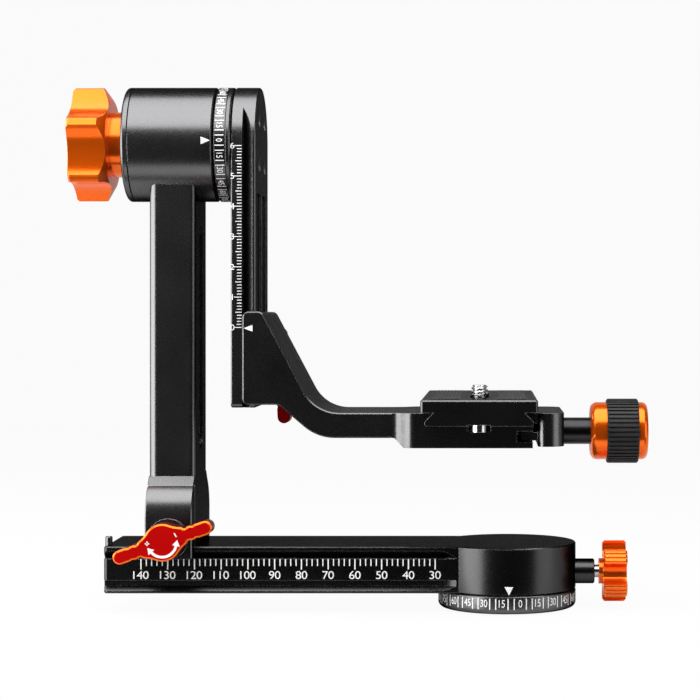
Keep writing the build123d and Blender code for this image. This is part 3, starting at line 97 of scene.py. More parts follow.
class Finish:
    """A surface finish being built up on one Principled shader."""

    def __init__(self, name):
        self.material = bpy.data.materials.new(name)
        self.material.use_nodes = True
        self.tree = self.material.node_tree
        self.shader = self.tree.nodes["Principled BSDF"]
        self.place = self.node("ShaderNodeTexCoord", output="Object")

    def node(self, kind, settings=None, inputs=None, output=0):
        """Add a node: settings first, then values or wires into its sockets."""
        added = self.tree.nodes.new(kind)
        for key, value in (settings or {}).items():
            setattr(added, key, value)
        for key, value in (inputs or {}).items():
            self.join(value, added.inputs[key])
        return Wire(self, added.outputs[output])

    def join(self, value, socket):
        """Feed a socket with a wire, a colour or a number."""
        if isinstance(value, Wire):
            self.tree.links.new(value.socket, socket)
        elif isinstance(value, tuple) and len(socket.default_value) == 4:
            socket.default_value = (*value, 1.0)
        else:
            socket.default_value = value

    def blend(self, share, first, second):
        """The first colour where share is 0 and the second where it is 1."""
        return self.node(
            "ShaderNodeMix", {"data_type": "RGBA"}, {0: share, 6: first, 7: second}, output=2
        )

    def noise(self, scale, detail=2.0):
        """Cloudy noise over the piece, scale times per metre."""
        return self.node(
            "ShaderNodeTexNoise", None, {"Vector": self.place, "Scale": scale, "Detail": detail}
        )

    def rounded(self, radius):
        """The surface's direction with every sharp edge eased to a small radius, in mm."""
        return self.node("ShaderNodeBevel", {"samples": 6}, {"Radius": radius * MM})

    def edge(self, radius, start, full):
        """1 along every sharp outer or inner edge, 0 on open faces."""
        facing = self.node("ShaderNodeNewGeometry", output="Normal")
        agreement = self.node(
            "ShaderNodeVectorMath",
            {"operation": "DOT_PRODUCT"},
            {0: self.rounded(radius), 1: facing},
            output="Value",
        )
        return (((1 - agreement) - start) / (full - start)).held()

    def bump(self, height, depth, strength=1.0, radius=0.12):
        """Relief of a depth in mm on top of lightly eased edges."""
        return self.node(
            "ShaderNodeBump",
            None,
            {
                "Strength": strength,
                "Distance": depth * MM,
                "Height": height,
                "Normal": self.rounded(radius),
            },
        )

    def set(self, **sockets):
        """Set the shader's sockets, with an underscore for each space in their names."""
        for key, value in sockets.items():
            self.join(value, self.shader.inputs[key.replace("_", " ")])
        return self


def dress(finish, *names):
    """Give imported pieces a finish."""
    for name in names:
        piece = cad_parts[name]
        piece.data.materials.clear()
        piece.data.materials.append(finish.material)


def black_anodised(
    name, grain=0.30, edge_reach=0.16, edge_share=0.5, gloss=1.0, rough=0.27, frost=0.0
):
    """Fine-blasted black oxide with bright cut edges; the grain is the blasting's size in mm.

    The dyed layer swallows light that grazes it, so it stays black seen from the side. Frost is how
    matt the cut edges are, which makes them show from every side.
    """
    finish = Finish(name)
    speckle = finish.noise(1 / (grain * MM), 3.0)
    cloud = finish.noise(60.0, 3.0)
    rim = (finish.edge(edge_reach, 0.04, 0.14) * edge_share * (0.55 + 0.9 * cloud)).held()
    low, high = (tuple(share * gloss * tone for tone in BLACK_OXIDE) for share in (1.0, 1.35))
    dust = finish.blend((speckle - 0.35) * 1.6, low, high)
    return finish.set(
        Base_Color=finish.blend(rim, dust, BRIGHT_EDGE),
        Metallic=1.0 - frost * rim,
        Roughness=rough + 0.08 * (cloud - 0.5) + 0.12 * (speckle - 0.5) - 0.06 * rim,
        Normal=finish.bump(speckle, 0.014, 0.6),
        Specular_Tint=(0.0, 0.0, 0.0),
    )


def lettering(text, height, stretch):
    """The flat shapes of a number, as points (across, up) in mm about its middle, and its faces."""
    curve = bpy.data.curves.new("lettering", "FONT")
    curve.body = text
    curve.resolution_u = 5
    curve.space_character = 0.94
    shape = bpy.data.objects.new("lettering", curve)
    bpy.context.scene.collection.objects.link(shape)
    evaluated = shape.evaluated_get(bpy.context.evaluated_depsgraph_get())
    flat = bpy.data.meshes.new_from_object(evaluated)
    points = np.empty(len(flat.vertices) * 3)
    flat.vertices.foreach_get("co", points)
    points = points.reshape(-1, 3)[:, :2]
    faces = [tuple(face.vertices) for face in flat.polygons]
    low = points.min(0)
    high = points.max(0)
    points = (points - (low + high) / 2) * height / (high[1] - low[1]) * (stretch, 1.0)
    bpy.data.objects.remove(shape)
    bpy.data.meshes.remove(flat)
    return points, faces


def bars(middles, sizes):
    """Upright rectangles as corner points: middles and sizes are (across, up) in mm."""
    corner = np.array([(-0.5, -0.5), (0.5, -0.5), (0.5, 0.5), (-0.5, 0.5)])
    return np.asarray(middles)[:, None, :] + corner[None] * np.asarray(sizes)[:, None, :]


def white_print(name):
    """Screen-printed white ink, slightly uneven in cover."""
    finish = Finish(name)
    cover = finish.noise(2600.0, 3.0)
    return finish.set(
        Base_Color=finish.blend((cover - 0.3) * 1.4, PRINT_WHITE, (0.74, 0.74, 0.73)),
        Roughness=0.42 + 0.2 * (cover - 0.5),
        Normal=finish.bump(cover, 0.004, 0.4, 0.02),
    )


scale_ink = white_print("white_scale_ink")


def printed(name, body, rectangles, words, wrap, stretch=1.12):
    """Lay flat marks on a surface; wrap takes (across, up) points in mm to places in mm.

    rectangles is an array of corner points, words a list of (text, height, across, up, turn), and
    stretch widens or narrows the digits.
    """
    points = [rectangles.reshape(-1, 2)]
    faces = [tuple(range(4 * k, 4 * k + 4)) for k in range(len(rectangles))]
    count = 4 * len(rectangles)
    for text, height, across, up, turn in words:
        shape, parts = lettering(text, height, stretch)
        spin = np.array([[math.cos(turn), math.sin(turn)], [-math.sin(turn), math.cos(turn)]])
        points.append(shape @ spin + (across, up))
        faces += [tuple(corner + count for corner in part) for part in parts]
        count += len(shape)
    placed = wrap(np.concatenate(points)) * MM
    mesh = bpy.data.meshes.new(name)
    mesh.from_pydata(placed.tolist(), [], faces)
    mesh.materials.append(scale_ink.material)
    marks = bpy.data.objects.new(name, mesh)
    bpy.context.scene.collection.objects.link(marks)
    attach(marks, body)


disc_black = black_anodised("black_anodised_disc")
dress(disc_black, "base_disc")

DISC_RADIUS = 26.3
DISC_FOOT_RADIUS = 2.0
PAN_ZERO = math.radians(10.4)
PAN_TICK_SIZE = (0.42, 4.15)
PAN_TICK_MIDDLE = 3.92
PAN_DIGIT_HEIGHT = 2.8
PAN_DIGIT_MIDDLE = 4.15
TICK_ANGLES = [angle for angle in range(-175, 181, 5) if angle % 15]
NUMBER_ANGLES = range(-165, 181, 15)


def round_the_disc(points):
    """Across runs round the rim in mm from the front, up is the height.

    Below the foot's radius r the rim rounds in: it is narrower by r - sqrt(r^2 - drop^2).
    """
    angle = points[:, 0] / DISC_RADIUS
    drop = np.clip(DISC_FOOT_RADIUS - points[:, 1], 0, None)
    radius = DISC_RADIUS - DISC_FOOT_RADIUS + np.sqrt(DISC_FOOT_RADIUS**2 - drop**2) + PRINT_LIFT
    return np.stack([radius * np.sin(angle), -radius * np.cos(angle), points[:, 1]], 1)


def pan_place(angle):
    """How far round the rim an angle of the pan scale lies, in mm."""
    return angle * math.radians(1) * DISC_RADIUS + PAN_ZERO * DISC_RADIUS


pan_bars = bars(
    [(pan_place(angle), PAN_TICK_MIDDLE) for angle in TICK_ANGLES],
    [PAN_TICK_SIZE] * len(TICK_ANGLES),
)
pan_words = [
    (str(abs(angle)), PAN_DIGIT_HEIGHT, pan_place(angle), PAN_DIGIT_MIDDLE, 0.0)
    for angle in NUMBER_ANGLES
]
printed("pan_scale", "base", pan_bars, pan_words, round_the_disc, stretch=0.8)


# --- Pan bearing ----------------------------------------------------------------------------------
# A turned steel spindle carries the whole head; a bronze bush and a plain plastic washer let it
# turn without play. All of it is inside the base.
def turned_steel(name, shade=(0.56, 0.56, 0.57), rough=0.24, ring_pitch=0.12, edge_share=0.5):
    """Machined steel with fine tool marks and slightly brighter edges."""
    finish = Finish(name)
    marks = finish.noise(1 / (ring_pitch * MM), 2.0)
    stain = finish.noise(180.0, 4.0)
    rim = finish.edge(0.2, 0.05, 0.2) * edge_share
    tint = finish.blend((stain - 0.3) * 0.9, shade, tuple(0.78 * tone for tone in shade))
    return finish.set(
        Base_Color=finish.blend(rim, tint, (0.8, 0.8, 0.81)),
        Metallic=1.0,
        Roughness=rough + 0.12 * (marks - 0.5) + 0.08 * (stain - 0.5),
        Normal=finish.bump(marks, 0.006, 0.5),
    )


def bearing_stock(name, shade, metal, rough):
    """Plain bearing material: an even, slightly porous surface."""
    finish = Finish(name)
    pores = finish.noise(5200.0, 2.0)
    return finish.set(
        Base_Color=finish.blend((pores - 0.4) * 2.0, shade, tuple(0.6 * tone for tone in shade)),
        Metallic=metal,
        Roughness=rough + 0.2 * (pores - 0.5),
        Normal=finish.bump(pores, 0.01, 0.5),
    )


spindle_steel = turned_steel("turned_steel_spindle")
bearing_bronze = bearing_stock("sintered_bronze", (0.50, 0.33, 0.15), 1.0, 0.42)
bearing_plastic = bearing_stock("bearing_plastic", (0.78, 0.76, 0.70), 0.0, 0.5)
dress(spindle_steel, "pan_spindle", "pan_retaining_ring", "base_screws")
dress(bearing_bronze, "pan_bush")
dress(bearing_plastic, "pan_thrust_washer", "pan_lock_pad")


# --- Base arm -------------------------------------------------------------------------------------
# One bar of aluminium, milled to a round housing at its end, with clamping grooves along both
# sides. The rail between the grooves is printed with a millimetre scale; a stop screw ends the bar.
ARM_FACE = 19.0
ARM_MARKS = range(30, 141, 2)
ARM_FIRST_MARK = -27.0
ARM_LONG_TICK = (0.46, 3.9)
ARM_LONG_TICK_MIDDLE = 17.95
ARM_SHORT_TICK = (0.40, 2.6)
ARM_SHORT_TICK_MIDDLE = 18.6
ARM_DIGIT_HEIGHT = 3.0
ARM_DIGIT_MIDDLE = 13.9
arm_black = black_anodised("black_anodised_arm", gloss=0.42)
dress(arm_black, "base_arm")


def on_front_face(depth, middle=(0.0, 0.0)):
    """A wrap for a flat face that looks forward: across is X and up is Z, about a middle point."""

    def wrap(points):
        face = np.full(len(points), -depth - PRINT_LIFT)
        return np.stack([points[:, 0] + middle[0], face, points[:, 1] + middle[1]], 1)

    return wrap


def arm_place(mark):
    """Where a mark of the arm's scale lies along X, in mm."""
    return ARM_FIRST_MARK - (mark - ARM_MARKS[0])


tens = [mark for mark in ARM_MARKS if mark % 10 == 0]
twos = [mark for mark in ARM_MARKS if mark % 10]
arm_bars = bars(
    [(arm_place(mark), ARM_LONG_TICK_MIDDLE) for mark in tens]
    + [(arm_place(mark), ARM_SHORT_TICK_MIDDLE) for mark in twos],
    [ARM_LONG_TICK] * len(tens) + [ARM_SHORT_TICK] * len(twos),
)
arm_words = [
    (str(mark), ARM_DIGIT_HEIGHT, arm_place(mark), ARM_DIGIT_MIDDLE, 0.0) for mark in tens
]
printed("base_arm_scale", "base_arm", arm_bars, arm_words, on_front_face(ARM_FACE))


def on_pan_housing(points):
    """Across runs round the pan housing in mm from the front, up is the height."""
    angle = points[:, 0] / DISC_RADIUS
    radius = DISC_RADIUS + PRINT_LIFT
    return np.stack([radius * np.sin(angle), -radius * np.cos(angle), points[:, 1]], 1)


pan_index = np.array([[(0.5, 7.2), (2.1, 10.4), (0.5, 10.4), (-1.1, 10.4)]])
printed("pan_index", "base_arm", pan_index, [], on_pan_housing)

screw_black = black_anodised("black_oxide_screws", edge_share=0.9)
dress(screw_black, "arm_stop_screw")


# --- Pan lock -------------------------------------------------------------------------------------
# A black threaded sleeve in the housing, a steel screw in it, and an orange anodised star knob
# whose five lands are ridged for grip.
ORANGE_OXIDE = (1.0, 0.14, 0.003)


def bright_anodised(name, shade, lit, rough=0.2, edge_share=0.8):
    """Dyed oxide over satin metal: the colour is in the metal's reflection; the edges carry a
    painted highlight in the lit colour.
    """
    finish = Finish(name)
    satin = finish.noise(3800.0, 2.0)
    cloud = finish.noise(90.0, 3.0)
    # The edges are blended to the lit colour: a painted highlight.
    rim = (finish.edge(0.25, 0.04, 0.2) * edge_share * (0.6 + 0.6 * cloud)).held()
    body = finish.blend((cloud - 0.3) * 0.8, shade, tuple(0.86 * tone for tone in shade))
    return finish.set(
        Base_Color=finish.blend(rim, body, lit),
        Metallic=0.70 + 0.2 * rim,
        Roughness=rough + 0.08 * (satin - 0.5) + 0.06 * (cloud - 0.5),
        Normal=finish.bump(satin, 0.006, 0.5),
        Specular_IOR_Level=0.25,
        Coat_Weight=0.15,
        Coat_Roughness=0.12,
    )


knob_orange = bright_anodised("orange_anodised_pan_knob", ORANGE_OXIDE, (1.0, 0.62, 0.18))
dress(arm_black, "pan_lock_boss")
dress(turned_steel("turned_steel_pan_screw", rough=0.22), "pan_lock_stud")
dress(knob_orange, "pan_knob")


# --- Column and its clamping foot -----------------------------------------------------------------
# The column is one milled bar whose flared foot grips the arm; the foot's front jaw is a separate
# plate that slides on two steel pins.
column_black = black_anodised("black_anodised_column")
dress(column_black, "column", "column_jaw")
pin_steel = turned_steel("turned_steel_pins")
dress(pin_steel, "column_jaw_pins")


# --- Column lever ---------------------------------------------------------------------------------
# Die-cast lever, anodised red, with a painted orange highlight on its bevels and painted shade on
# its sides. A white double arrow with plus and minus shows which way it clamps.
LEVER_RED = (0.48, 0.0005, 0.0005)
# Painted shade for the lever's sides, then a painted highlight for its chamfers.
LEVER_SIDE_SHADE = (0.12, 0.003, 0.003)
LEVER_BEVEL_HIGHLIGHT = (0.95, 0.17, 0.012)
LEVER_MIDDLE = (-126.05, 28.0)
LEVER_FACE = 37.8
ARROW_RADIUS = 5.2
ARROW_ENDS = (222, 348)
ARROW_WIDTH = 0.95
ARROW_HEAD = (2.2, 2.8)
PLUS_MIDDLE = (-5.5, -0.3)
PLUS_BARS = [(1.6, 0.45), (0.45, 1.6)]
MINUS_CORNERS = [(4.2, 3.5), (4.6, 3.7), (5.4, 2.3), (5.0, 2.1)]


def lever_red(name):
    """Red face, painted shade on the sides and a painted orange highlight on the chamfers, told
    apart by the way the surface faces.
    """
    finish = Finish(name)
    satin = finish.noise(3600.0, 2.0)
    cloud = finish.noise(120.0, 3.0)
    facing = finish.node("ShaderNodeTexCoord", output="Normal")
    outward = abs(finish.node("ShaderNodeSeparateXYZ", None, {0: facing}, output="Y"))
    # The facing picks the colour: painted highlight on the chamfers, painted shade on the sides.
    bevel_highlight = (outward > 0.45) * (outward < 0.93)
    side = outward < 0.45
    face = finish.blend((cloud - 0.3) * 0.9, LEVER_RED, tuple(0.86 * tone for tone in LEVER_RED))
    body = finish.blend(side, face, LEVER_SIDE_SHADE)
    return finish.set(
        Base_Color=finish.blend(bevel_highlight, body, LEVER_BEVEL_HIGHLIGHT),
        Metallic=0.25 + 0.3 * bevel_highlight + 0.4 * side,
        Roughness=0.42 - 0.14 * bevel_highlight + 0.1 * (satin - 0.5),
        Normal=finish.bump(satin, 0.008, 0.5),
        Specular_IOR_Level=0.1,
    )


lever_finish = lever_red("red_anodised_lever")
lever_steel = turned_steel("turned_steel_lever_insert", rough=0.2)
dress(lever_finish, "column_lever")
dress(lever_steel, "column_lever_hub", "column_clamp_screw")


def arrow_bend(radius, start, end, width):
    """A bar bent round a circle, as quads: parameter 1 runs along it, parameter 2 across it."""
    along = np.radians(np.linspace(start, end, 17))
    inner = (radius - width / 2) * np.stack([np.cos(along), np.sin(along)], 1)
    outer = (radius + width / 2) * np.stack([np.cos(along), np.sin(along)], 1)
    return np.stack([inner[:-1], outer[:-1], outer[1:], inner[1:]], 1)


def arrow_head(radius, at, turn, length, width):
    """A triangle at an angle on the circle that points along it; turn is +1 or -1."""
    angle = math.radians(at)
    root = radius * np.array([math.cos(angle), math.sin(angle)])
    forward = turn * np.array([-math.sin(angle), math.cos(angle)])
    sideways = root / radius
    left = root - sideways * width / 2
    right = root + sideways * width / 2
    tip = root + forward * length
    return np.array([[left, right, tip, (left + tip) / 2][::turn]])


arrow_marks = np.concatenate(
    [
        arrow_bend(ARROW_RADIUS, *ARROW_ENDS, ARROW_WIDTH),
        arrow_head(ARROW_RADIUS, ARROW_ENDS[1], 1, *ARROW_HEAD),
        arrow_head(ARROW_RADIUS, ARROW_ENDS[0], -1, *ARROW_HEAD),
        bars([PLUS_MIDDLE, PLUS_MIDDLE], PLUS_BARS),
        np.array([MINUS_CORNERS[::-1]]),
    ]
)
lever_face = on_front_face(LEVER_FACE, LEVER_MIDDLE)
printed("lever_arrow", "column_lever", arrow_marks, [], lever_face)


# --- Tilt housing ---------------------------------------------------------------------------------
# A black anodised barrel screwed on top of the column, closed by a turned cap; two bronze bushes
# carry the tilt shaft, and a plastic brake disc is pressed on its end.
TILT_HEIGHT = 176.3
HOUSING_RADIUS = 21.8
housing_black = black_anodised("black_anodised_housing", grain=0.34)
dress(housing_black, "tilt_housing", "tilt_end_cap")
dress(screw_black, "housing_screws")
dress(bearing_bronze, "tilt_bush_outer", "tilt_bush_inner")
dress(bearing_plastic, "tilt_brake_disc")


def round_the_tilt_axis(points):
    """Across is X; up runs round the barrel in mm from the front, upwards."""
    angle = points[:, 1] / HOUSING_RADIUS
    radius = HOUSING_RADIUS + PRINT_LIFT
    y = -radius * np.cos(angle)
    return np.stack([points[:, 0], y, TILT_HEIGHT + radius * np.sin(angle)], 1)


tilt_index = np.array([[(-114.3, -1.5), (-110.9, -0.1), (-114.3, 1.3), (-114.3, -0.1)]])
printed("tilt_index", "column", tilt_index, [], round_the_tilt_axis)


# --- Tilt knob ------------------------------------------------------------------------------------
# A large six-lobed knob turned and milled from aluminium and anodised orange, on a steel screw
# that runs through the end cap.
tilt_orange = bright_anodised("orange_anodised_tilt_knob", ORANGE_OXIDE, (1.0, 0.66, 0.22))
dress(tilt_orange, "tilt_knob")
dress(turned_steel("turned_steel_tilt_screw", rough=0.22), "tilt_stud")


# --- Swing arm and its graduated ring -------------------------------------------------------------
# The arm hangs on the tilt shaft: shaft and nut of steel, graduated ring, collar and arm of black
# anodised aluminium. Degrees are printed on the ring and a height scale on the arm's front face.
SWING_FACE = 21.0
RING_MIDDLE = -107.45
RING_TICK_SIZE = (3.4, 0.36)
RING_DIGIT_HEIGHT = 2.3
SWING_ZERO = 106.5
SWING_STEP = 1.13
SWING_MARKS = range(61)
SWING_TEN_TICK = 2.9
SWING_FIVE_TICK = 2.3
SWING_ONE_TICK = 1.7
SWING_TICK_END = -99.15
SWING_TICK_WIDTH = 0.29
SWING_DIGIT_HEIGHT = 2.2
SWING_DIGIT_MIDDLE = -102.6
ring_black = black_anodised("black_anodised_ring", gloss=0.85)
swing_black = black_anodised("black_anodised_swing_arm")
shaft_steel = turned_steel("turned_steel_shaft")
dress(ring_black, "tilt_scale_ring", "swing_collar")
dress(swing_black, "swing_arm", "swing_screws")
dress(shaft_steel, "tilt_shaft", "tilt_shaft_nut")
dress(screw_black, "swing_stop_screw")

ring_degree = math.radians(1) * HOUSING_RADIUS
tilt_bars = bars(
    [(RING_MIDDLE, -angle * ring_degree) for angle in TICK_ANGLES],
    [RING_TICK_SIZE] * len(TICK_ANGLES),
)
tilt_words = [
    (str(abs(angle)), RING_DIGIT_HEIGHT, RING_MIDDLE, -angle * ring_degree, -math.pi / 2)
    for angle in NUMBER_ANGLES
]
printed("tilt_scale", "swing", tilt_bars, tilt_words, round_the_tilt_axis, stretch=0.82)


def swing_place(mark):
    """How high a mark of the swing arm's scale lies, in mm."""
    return SWING_ZERO + SWING_STEP * mark


def swing_tick(mark):
    """How long a mark's tick is: longest at the tens, shorter at the fives."""
    if mark % 10 == 0:
        return SWING_TEN_TICK
    return SWING_FIVE_TICK if mark % 5 == 0 else SWING_ONE_TICK


swing_bars = bars(
    [(SWING_TICK_END - swing_tick(mark) / 2, swing_place(mark)) for mark in SWING_MARKS],
    [(swing_tick(mark), SWING_TICK_WIDTH) for mark in SWING_MARKS],
)
swing_words = [
    (str(mark // 10), SWING_DIGIT_HEIGHT, SWING_DIGIT_MIDDLE, swing_place(mark), 0.0)
    for mark in SWING_MARKS
    if mark % 10 == 0
]
printed("swing_scale", "swing", swing_bars, swing_words, on_front_face(SWING_FACE))


# --- Cradle ---------------------------------------------------------------------------------------
# Bracket and clamp body are one milled piece; the bracket grips the swing arm with a jaw at the
# rear. Its outline is cut bright, and a white index points at the arm's scale.
CRADLE_FACE = 25.7
cradle_black = black_anodised("black_anodised_cradle", edge_share=0.8, gloss=0.8, frost=0.5)
dress(cradle_black, "cradle", "cradle_jaw")
dress(pin_steel, "cradle_jaw_pins", "qr_guide_pins")

cradle_index = np.array([[(-97.8, 106.2), (-94.5, 105.0), (-94.5, 106.2), (-94.5, 107.4)]])
printed("cradle_index", "cradle", cradle_index, [], on_front_face(CRADLE_FACE))

dress(lever_finish, "cradle_lever")
dress(lever_steel, "cradle_lever_hub", "cradle_clamp_screw")


# --- Quick-release jaw and knob -------------------------------------------------------------------
# The clamp's movable jaw is milled to the plate's dovetail and rides two pins. An orange knob with
# a ribbed rubber sleeve draws it in, on a black turned spindle.
jaw_black = black_anodised("black_anodised_jaw", edge_share=0.8, frost=0.5)
spindle_black = turned_steel(
    "black_turned_spindle", shade=(0.035, 0.035, 0.037), rough=0.30, edge_share=0.15
)
qr_orange = bright_anodised("orange_anodised_clamp_knob", ORANGE_OXIDE, (1.0, 0.5, 0.1))
dress(jaw_black, "qr_jaw")
dress(spindle_black, "qr_shaft")
dress(qr_orange, "qr_knob")


def moulded_rubber(name, shade=(0.012, 0.012, 0.012), rough=0.62):
    """Black rubber, matt, with a fine moulded skin and a little dust in cloudy patches."""
    finish = Finish(name)
    skin = finish.noise(5200.0, 3.0)
    dust = finish.noise(260.0, 4.0)
    return finish.set(
        Base_Color=finish.blend((dust - 0.45) * 1.5, shade, tuple(2.4 * tone for tone in shade)),
        Roughness=rough + 0.14 * (skin - 0.5),
        Normal=finish.bump(skin, 0.012, 0.6),
        Specular_IOR_Level=0.4,
    )


dress(moulded_rubber("rubber_knob_sleeve"), "qr_knob_grip")


# --- Quick-release plate --------------------------------------------------------------------------
# A milled dovetail plate with two studded rubber pads, a steel camera screw in its slot, and a
# stop screw hanging under each end.
PLATE_MIDDLE = -10.4
PAD_MIDDLE = 12.1
PAD_WIDTH = 10.2
PAD_HALF_LENGTH = 40.0
PAD_LOW = 79.92
PAD_HIGH = 80.95
PAD_RIM_DROP = 0.3
STUD_STAND = 0.32
STUDS_ACROSS = 8
STUDS_ALONG = 63
STEPS_ACROSS_STUD = 6
STEPS_ALONG_STUD = 4
plate_black = black_anodised(
    "black_anodised_plate", edge_reach=0.2, edge_share=0.8, gloss=0.65, frost=0.6
)
pad_rubber = moulded_rubber("rubber_plate_pads", shade=(0.016, 0.016, 0.016), rough=0.55)
dress(plate_black, "qr_plate")
stop_steel = turned_steel("turned_steel_stop_screws", shade=(0.72, 0.72, 0.73), rough=0.18)
dress(stop_steel, "safety_screws")
dress(bearing_plastic, "camera_screw_washer")


def pad_surface(middle):
    """One pad as a closed box whose top is a height field of round studs.

    Parameter u runs across and v along the pad, each in studs from an edge. The height above the
    low land is the stud's stand times sqrt(|sin(pi u)| * |sin(pi v)|).
    """
    columns = STUDS_ACROSS * STEPS_ACROSS_STUD + 1
    rows = STUDS_ALONG * STEPS_ALONG_STUD + 1
    across = np.linspace(-PAD_WIDTH / 2, PAD_WIDTH / 2, columns)
    along = np.linspace(-PAD_HALF_LENGTH, PAD_HALF_LENGTH, rows)
    x, y = np.meshgrid(across, along, indexing="ij")
    u = (x / PAD_WIDTH + 0.5) * STUDS_ACROSS
    v = (y / PAD_HALF_LENGTH + 1) * STUDS_ALONG / 2
    swell = np.sqrt(np.abs(np.sin(math.pi * u)) * np.abs(np.sin(math.pi * v)))
    height = PAD_HIGH - STUD_STAND * (1 - swell)
    rim = (np.abs(x) > PAD_WIDTH / 2 - 1e-6) | (np.abs(y) > PAD_HALF_LENGTH - 1e-6)
    height = np.where(rim, PAD_HIGH - PAD_RIM_DROP, height)
    top = np.stack([x + middle, y, height], -1)
    bottom = np.stack([x + middle, y, np.full_like(x, PAD_LOW)], -1)
    return top, bottom


def closed_slab(top, bottom):
    """Join two grids of the same size into one closed shell, faces outwards."""
    rows, columns = top.shape[:2]
    index = np.arange(rows * columns).reshape(rows, columns)
    lower = index + rows * columns
    upper = np.stack([index[:-1, :-1], index[1:, :-1], index[1:, 1:], index[:-1, 1:]], -1)
    under = np.stack([lower[:-1, :-1], lower[:-1, 1:], lower[1:, 1:], lower[1:, :-1]], -1)
    ring = np.concatenate([index[:-1, 0], index[-1, :-1], index[:0:-1, -1], index[0, :0:-1]])
    low_ring = ring + rows * columns
    after = np.roll(ring, -1)
    low_after = np.roll(low_ring, -1)
    wall = np.stack([ring, low_ring, low_after, after], -1)
    faces = np.concatenate([upper.reshape(-1, 4), under.reshape(-1, 4), wall])
    return np.concatenate([top.reshape(-1, 3), bottom.reshape(-1, 3)]), faces


left_pad, pad_faces = closed_slab(*pad_surface(PLATE_MIDDLE - PAD_MIDDLE))
right_pad, _ = closed_slab(*pad_surface(PLATE_MIDDLE + PAD_MIDDLE))
pad_points = np.concatenate([left_pad, right_pad]) * MM
pad_faces = np.concatenate([pad_faces, pad_faces + len(left_pad)])
pad_mesh = bpy.data.meshes.new("plate_pads_studded")
pad_mesh.from_pydata(pad_points.tolist(), [], pad_faces.tolist())
pad_mesh.materials.append(pad_rubber.material)
pads = bpy.data.objects.new("plate_pads_studded", pad_mesh)
bpy.context.scene.collection.objects.link(pads)
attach(pads, "qr_plate")
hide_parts("plate_pads")

SCREW_MIDDLE = (-10.4, -19.0)
SCREW_TOP = 85.0
SCREW_LEAD = 0.7
SCREW_RADIUS = 3.175
SCREW_PITCH = 1.27
THREAD_DEPTH = 0.72
THREAD_LOW = 81.17
NECK_RADIUS = 2.4
NECK_IN_HEAD = 1.0
SHANK_SIDES = 48
SHANK_RINGS = 121
SCREW_HEAD_LOW = 72.2
SCREW_HEAD_HIGH = 75.85
SCREW_HEAD_RADIUS = 5.6
COIN_SLOT_WIDTH = 1.4
COIN_SLOT_DEPTH = 1.5


def threaded_shank():
    """A closed helical shank; parameter 1 is the angle and parameter 2 the height.

    With w = |2 frac(z / pitch - angle / turn) - 1|, the radius is the major radius less the depth
    times 1.25 w - 0.12, held between 0 and 1, which leaves flat crests and roots. The thread runs
    out at the top. Below it is the plain neck, and both ends close on the axis.
    """
    angle = np.linspace(0, 2 * math.pi, SHANK_SIDES + 1)[:-1]
    height = np.linspace(SCREW_HEAD_HIGH - NECK_IN_HEAD, SCREW_TOP, SHANK_RINGS)
    a, z = np.meshgrid(angle, height, indexing="ij")
    phase = np.mod(z / SCREW_PITCH - a / (2 * math.pi), 1.0)
    flank = np.clip(1.25 * np.abs(2 * phase - 1) - 0.12, 0, 1)
    radius = SCREW_RADIUS - THREAD_DEPTH * flank
    lead = np.clip((SCREW_TOP - z) / SCREW_LEAD, 0, 1)
    radius = np.minimum(radius, SCREW_RADIUS - THREAD_DEPTH * (1 - lead))
    radius = np.where(z < THREAD_LOW, NECK_RADIUS, radius)
    points = np.stack([radius * np.cos(a), radius * np.sin(a), z], -1).reshape(-1, 3)
    index = np.arange(SHANK_SIDES * SHANK_RINGS).reshape(SHANK_SIDES, SHANK_RINGS)
    after = np.roll(index, -1, 0)
    side = np.stack([index[:, :-1], after[:, :-1], after[:, 1:], index[:, 1:]], -1).reshape(-1, 4)
    ends = [(0, 0, height[0]), (0, 0, height[-1])]
    low_end = len(points)
    low_cap = [(low_end, int(after[k, 0]), int(index[k, 0])) for k in range(SHANK_SIDES)]
    high_cap = [(low_end + 1, int(index[k, -1]), int(after[k, -1])) for k in range(SHANK_SIDES)]
    return np.concatenate([points, ends]), side.tolist() + low_cap + high_cap


def slotted_head():
    """The screw's round head as a slab: its underside steps up by the coin slot's depth.

    Parameter 1 takes stations across, doubled at the slot's walls, and parameter 2 runs along the
    chord of the circle there, whose half length is sqrt(radius^2 - station^2).
    """
    half = COIN_SLOT_WIDTH / 2
    rim = np.linspace(0, math.pi / 2, 13)
    outer = SCREW_HEAD_RADIUS * np.cos(rim)
    outer = outer[outer > half + 0.05]
    stations = np.concatenate([-outer, [-half, -half, 0, half, half], outer[::-1]])
    raised = np.concatenate([outer * 0, [0, 1, 1, 1, 0], outer * 0])
    chord = np.sqrt(np.clip(SCREW_HEAD_RADIUS**2 - stations**2, 1e-4, None))
    along = np.linspace(-1, 1, 9)
    x = stations[:, None] + 0 * along[None]
    y = chord[:, None] * along[None]
    low = (SCREW_HEAD_LOW + COIN_SLOT_DEPTH * raised)[:, None] + 0 * along[None]
    return closed_slab(
        np.stack([x, y, np.full_like(x, SCREW_HEAD_HIGH)], -1), np.stack([x, y, low], -1)
    )


shank_points, shank_faces = threaded_shank()
head_points, head_faces = slotted_head()
screw_points = np.concatenate([shank_points, head_points])
screw_points[:, :2] += SCREW_MIDDLE
screw_faces = shank_faces + (head_faces + len(shank_points)).tolist()
screw_mesh = bpy.data.meshes.new("camera_screw_threaded")
screw_mesh.from_pydata((screw_points * MM).tolist(), [], screw_faces)
screw_mesh.materials.append(
    turned_steel("turned_steel_camera_screw", shade=(0.78, 0.78, 0.79), rough=0.2).material
)
screw = bpy.data.objects.new("camera_screw_threaded", screw_mesh)
bpy.context.scene.collection.objects.link(screw)
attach(screw, "camera_screw")
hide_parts("camera_screw")


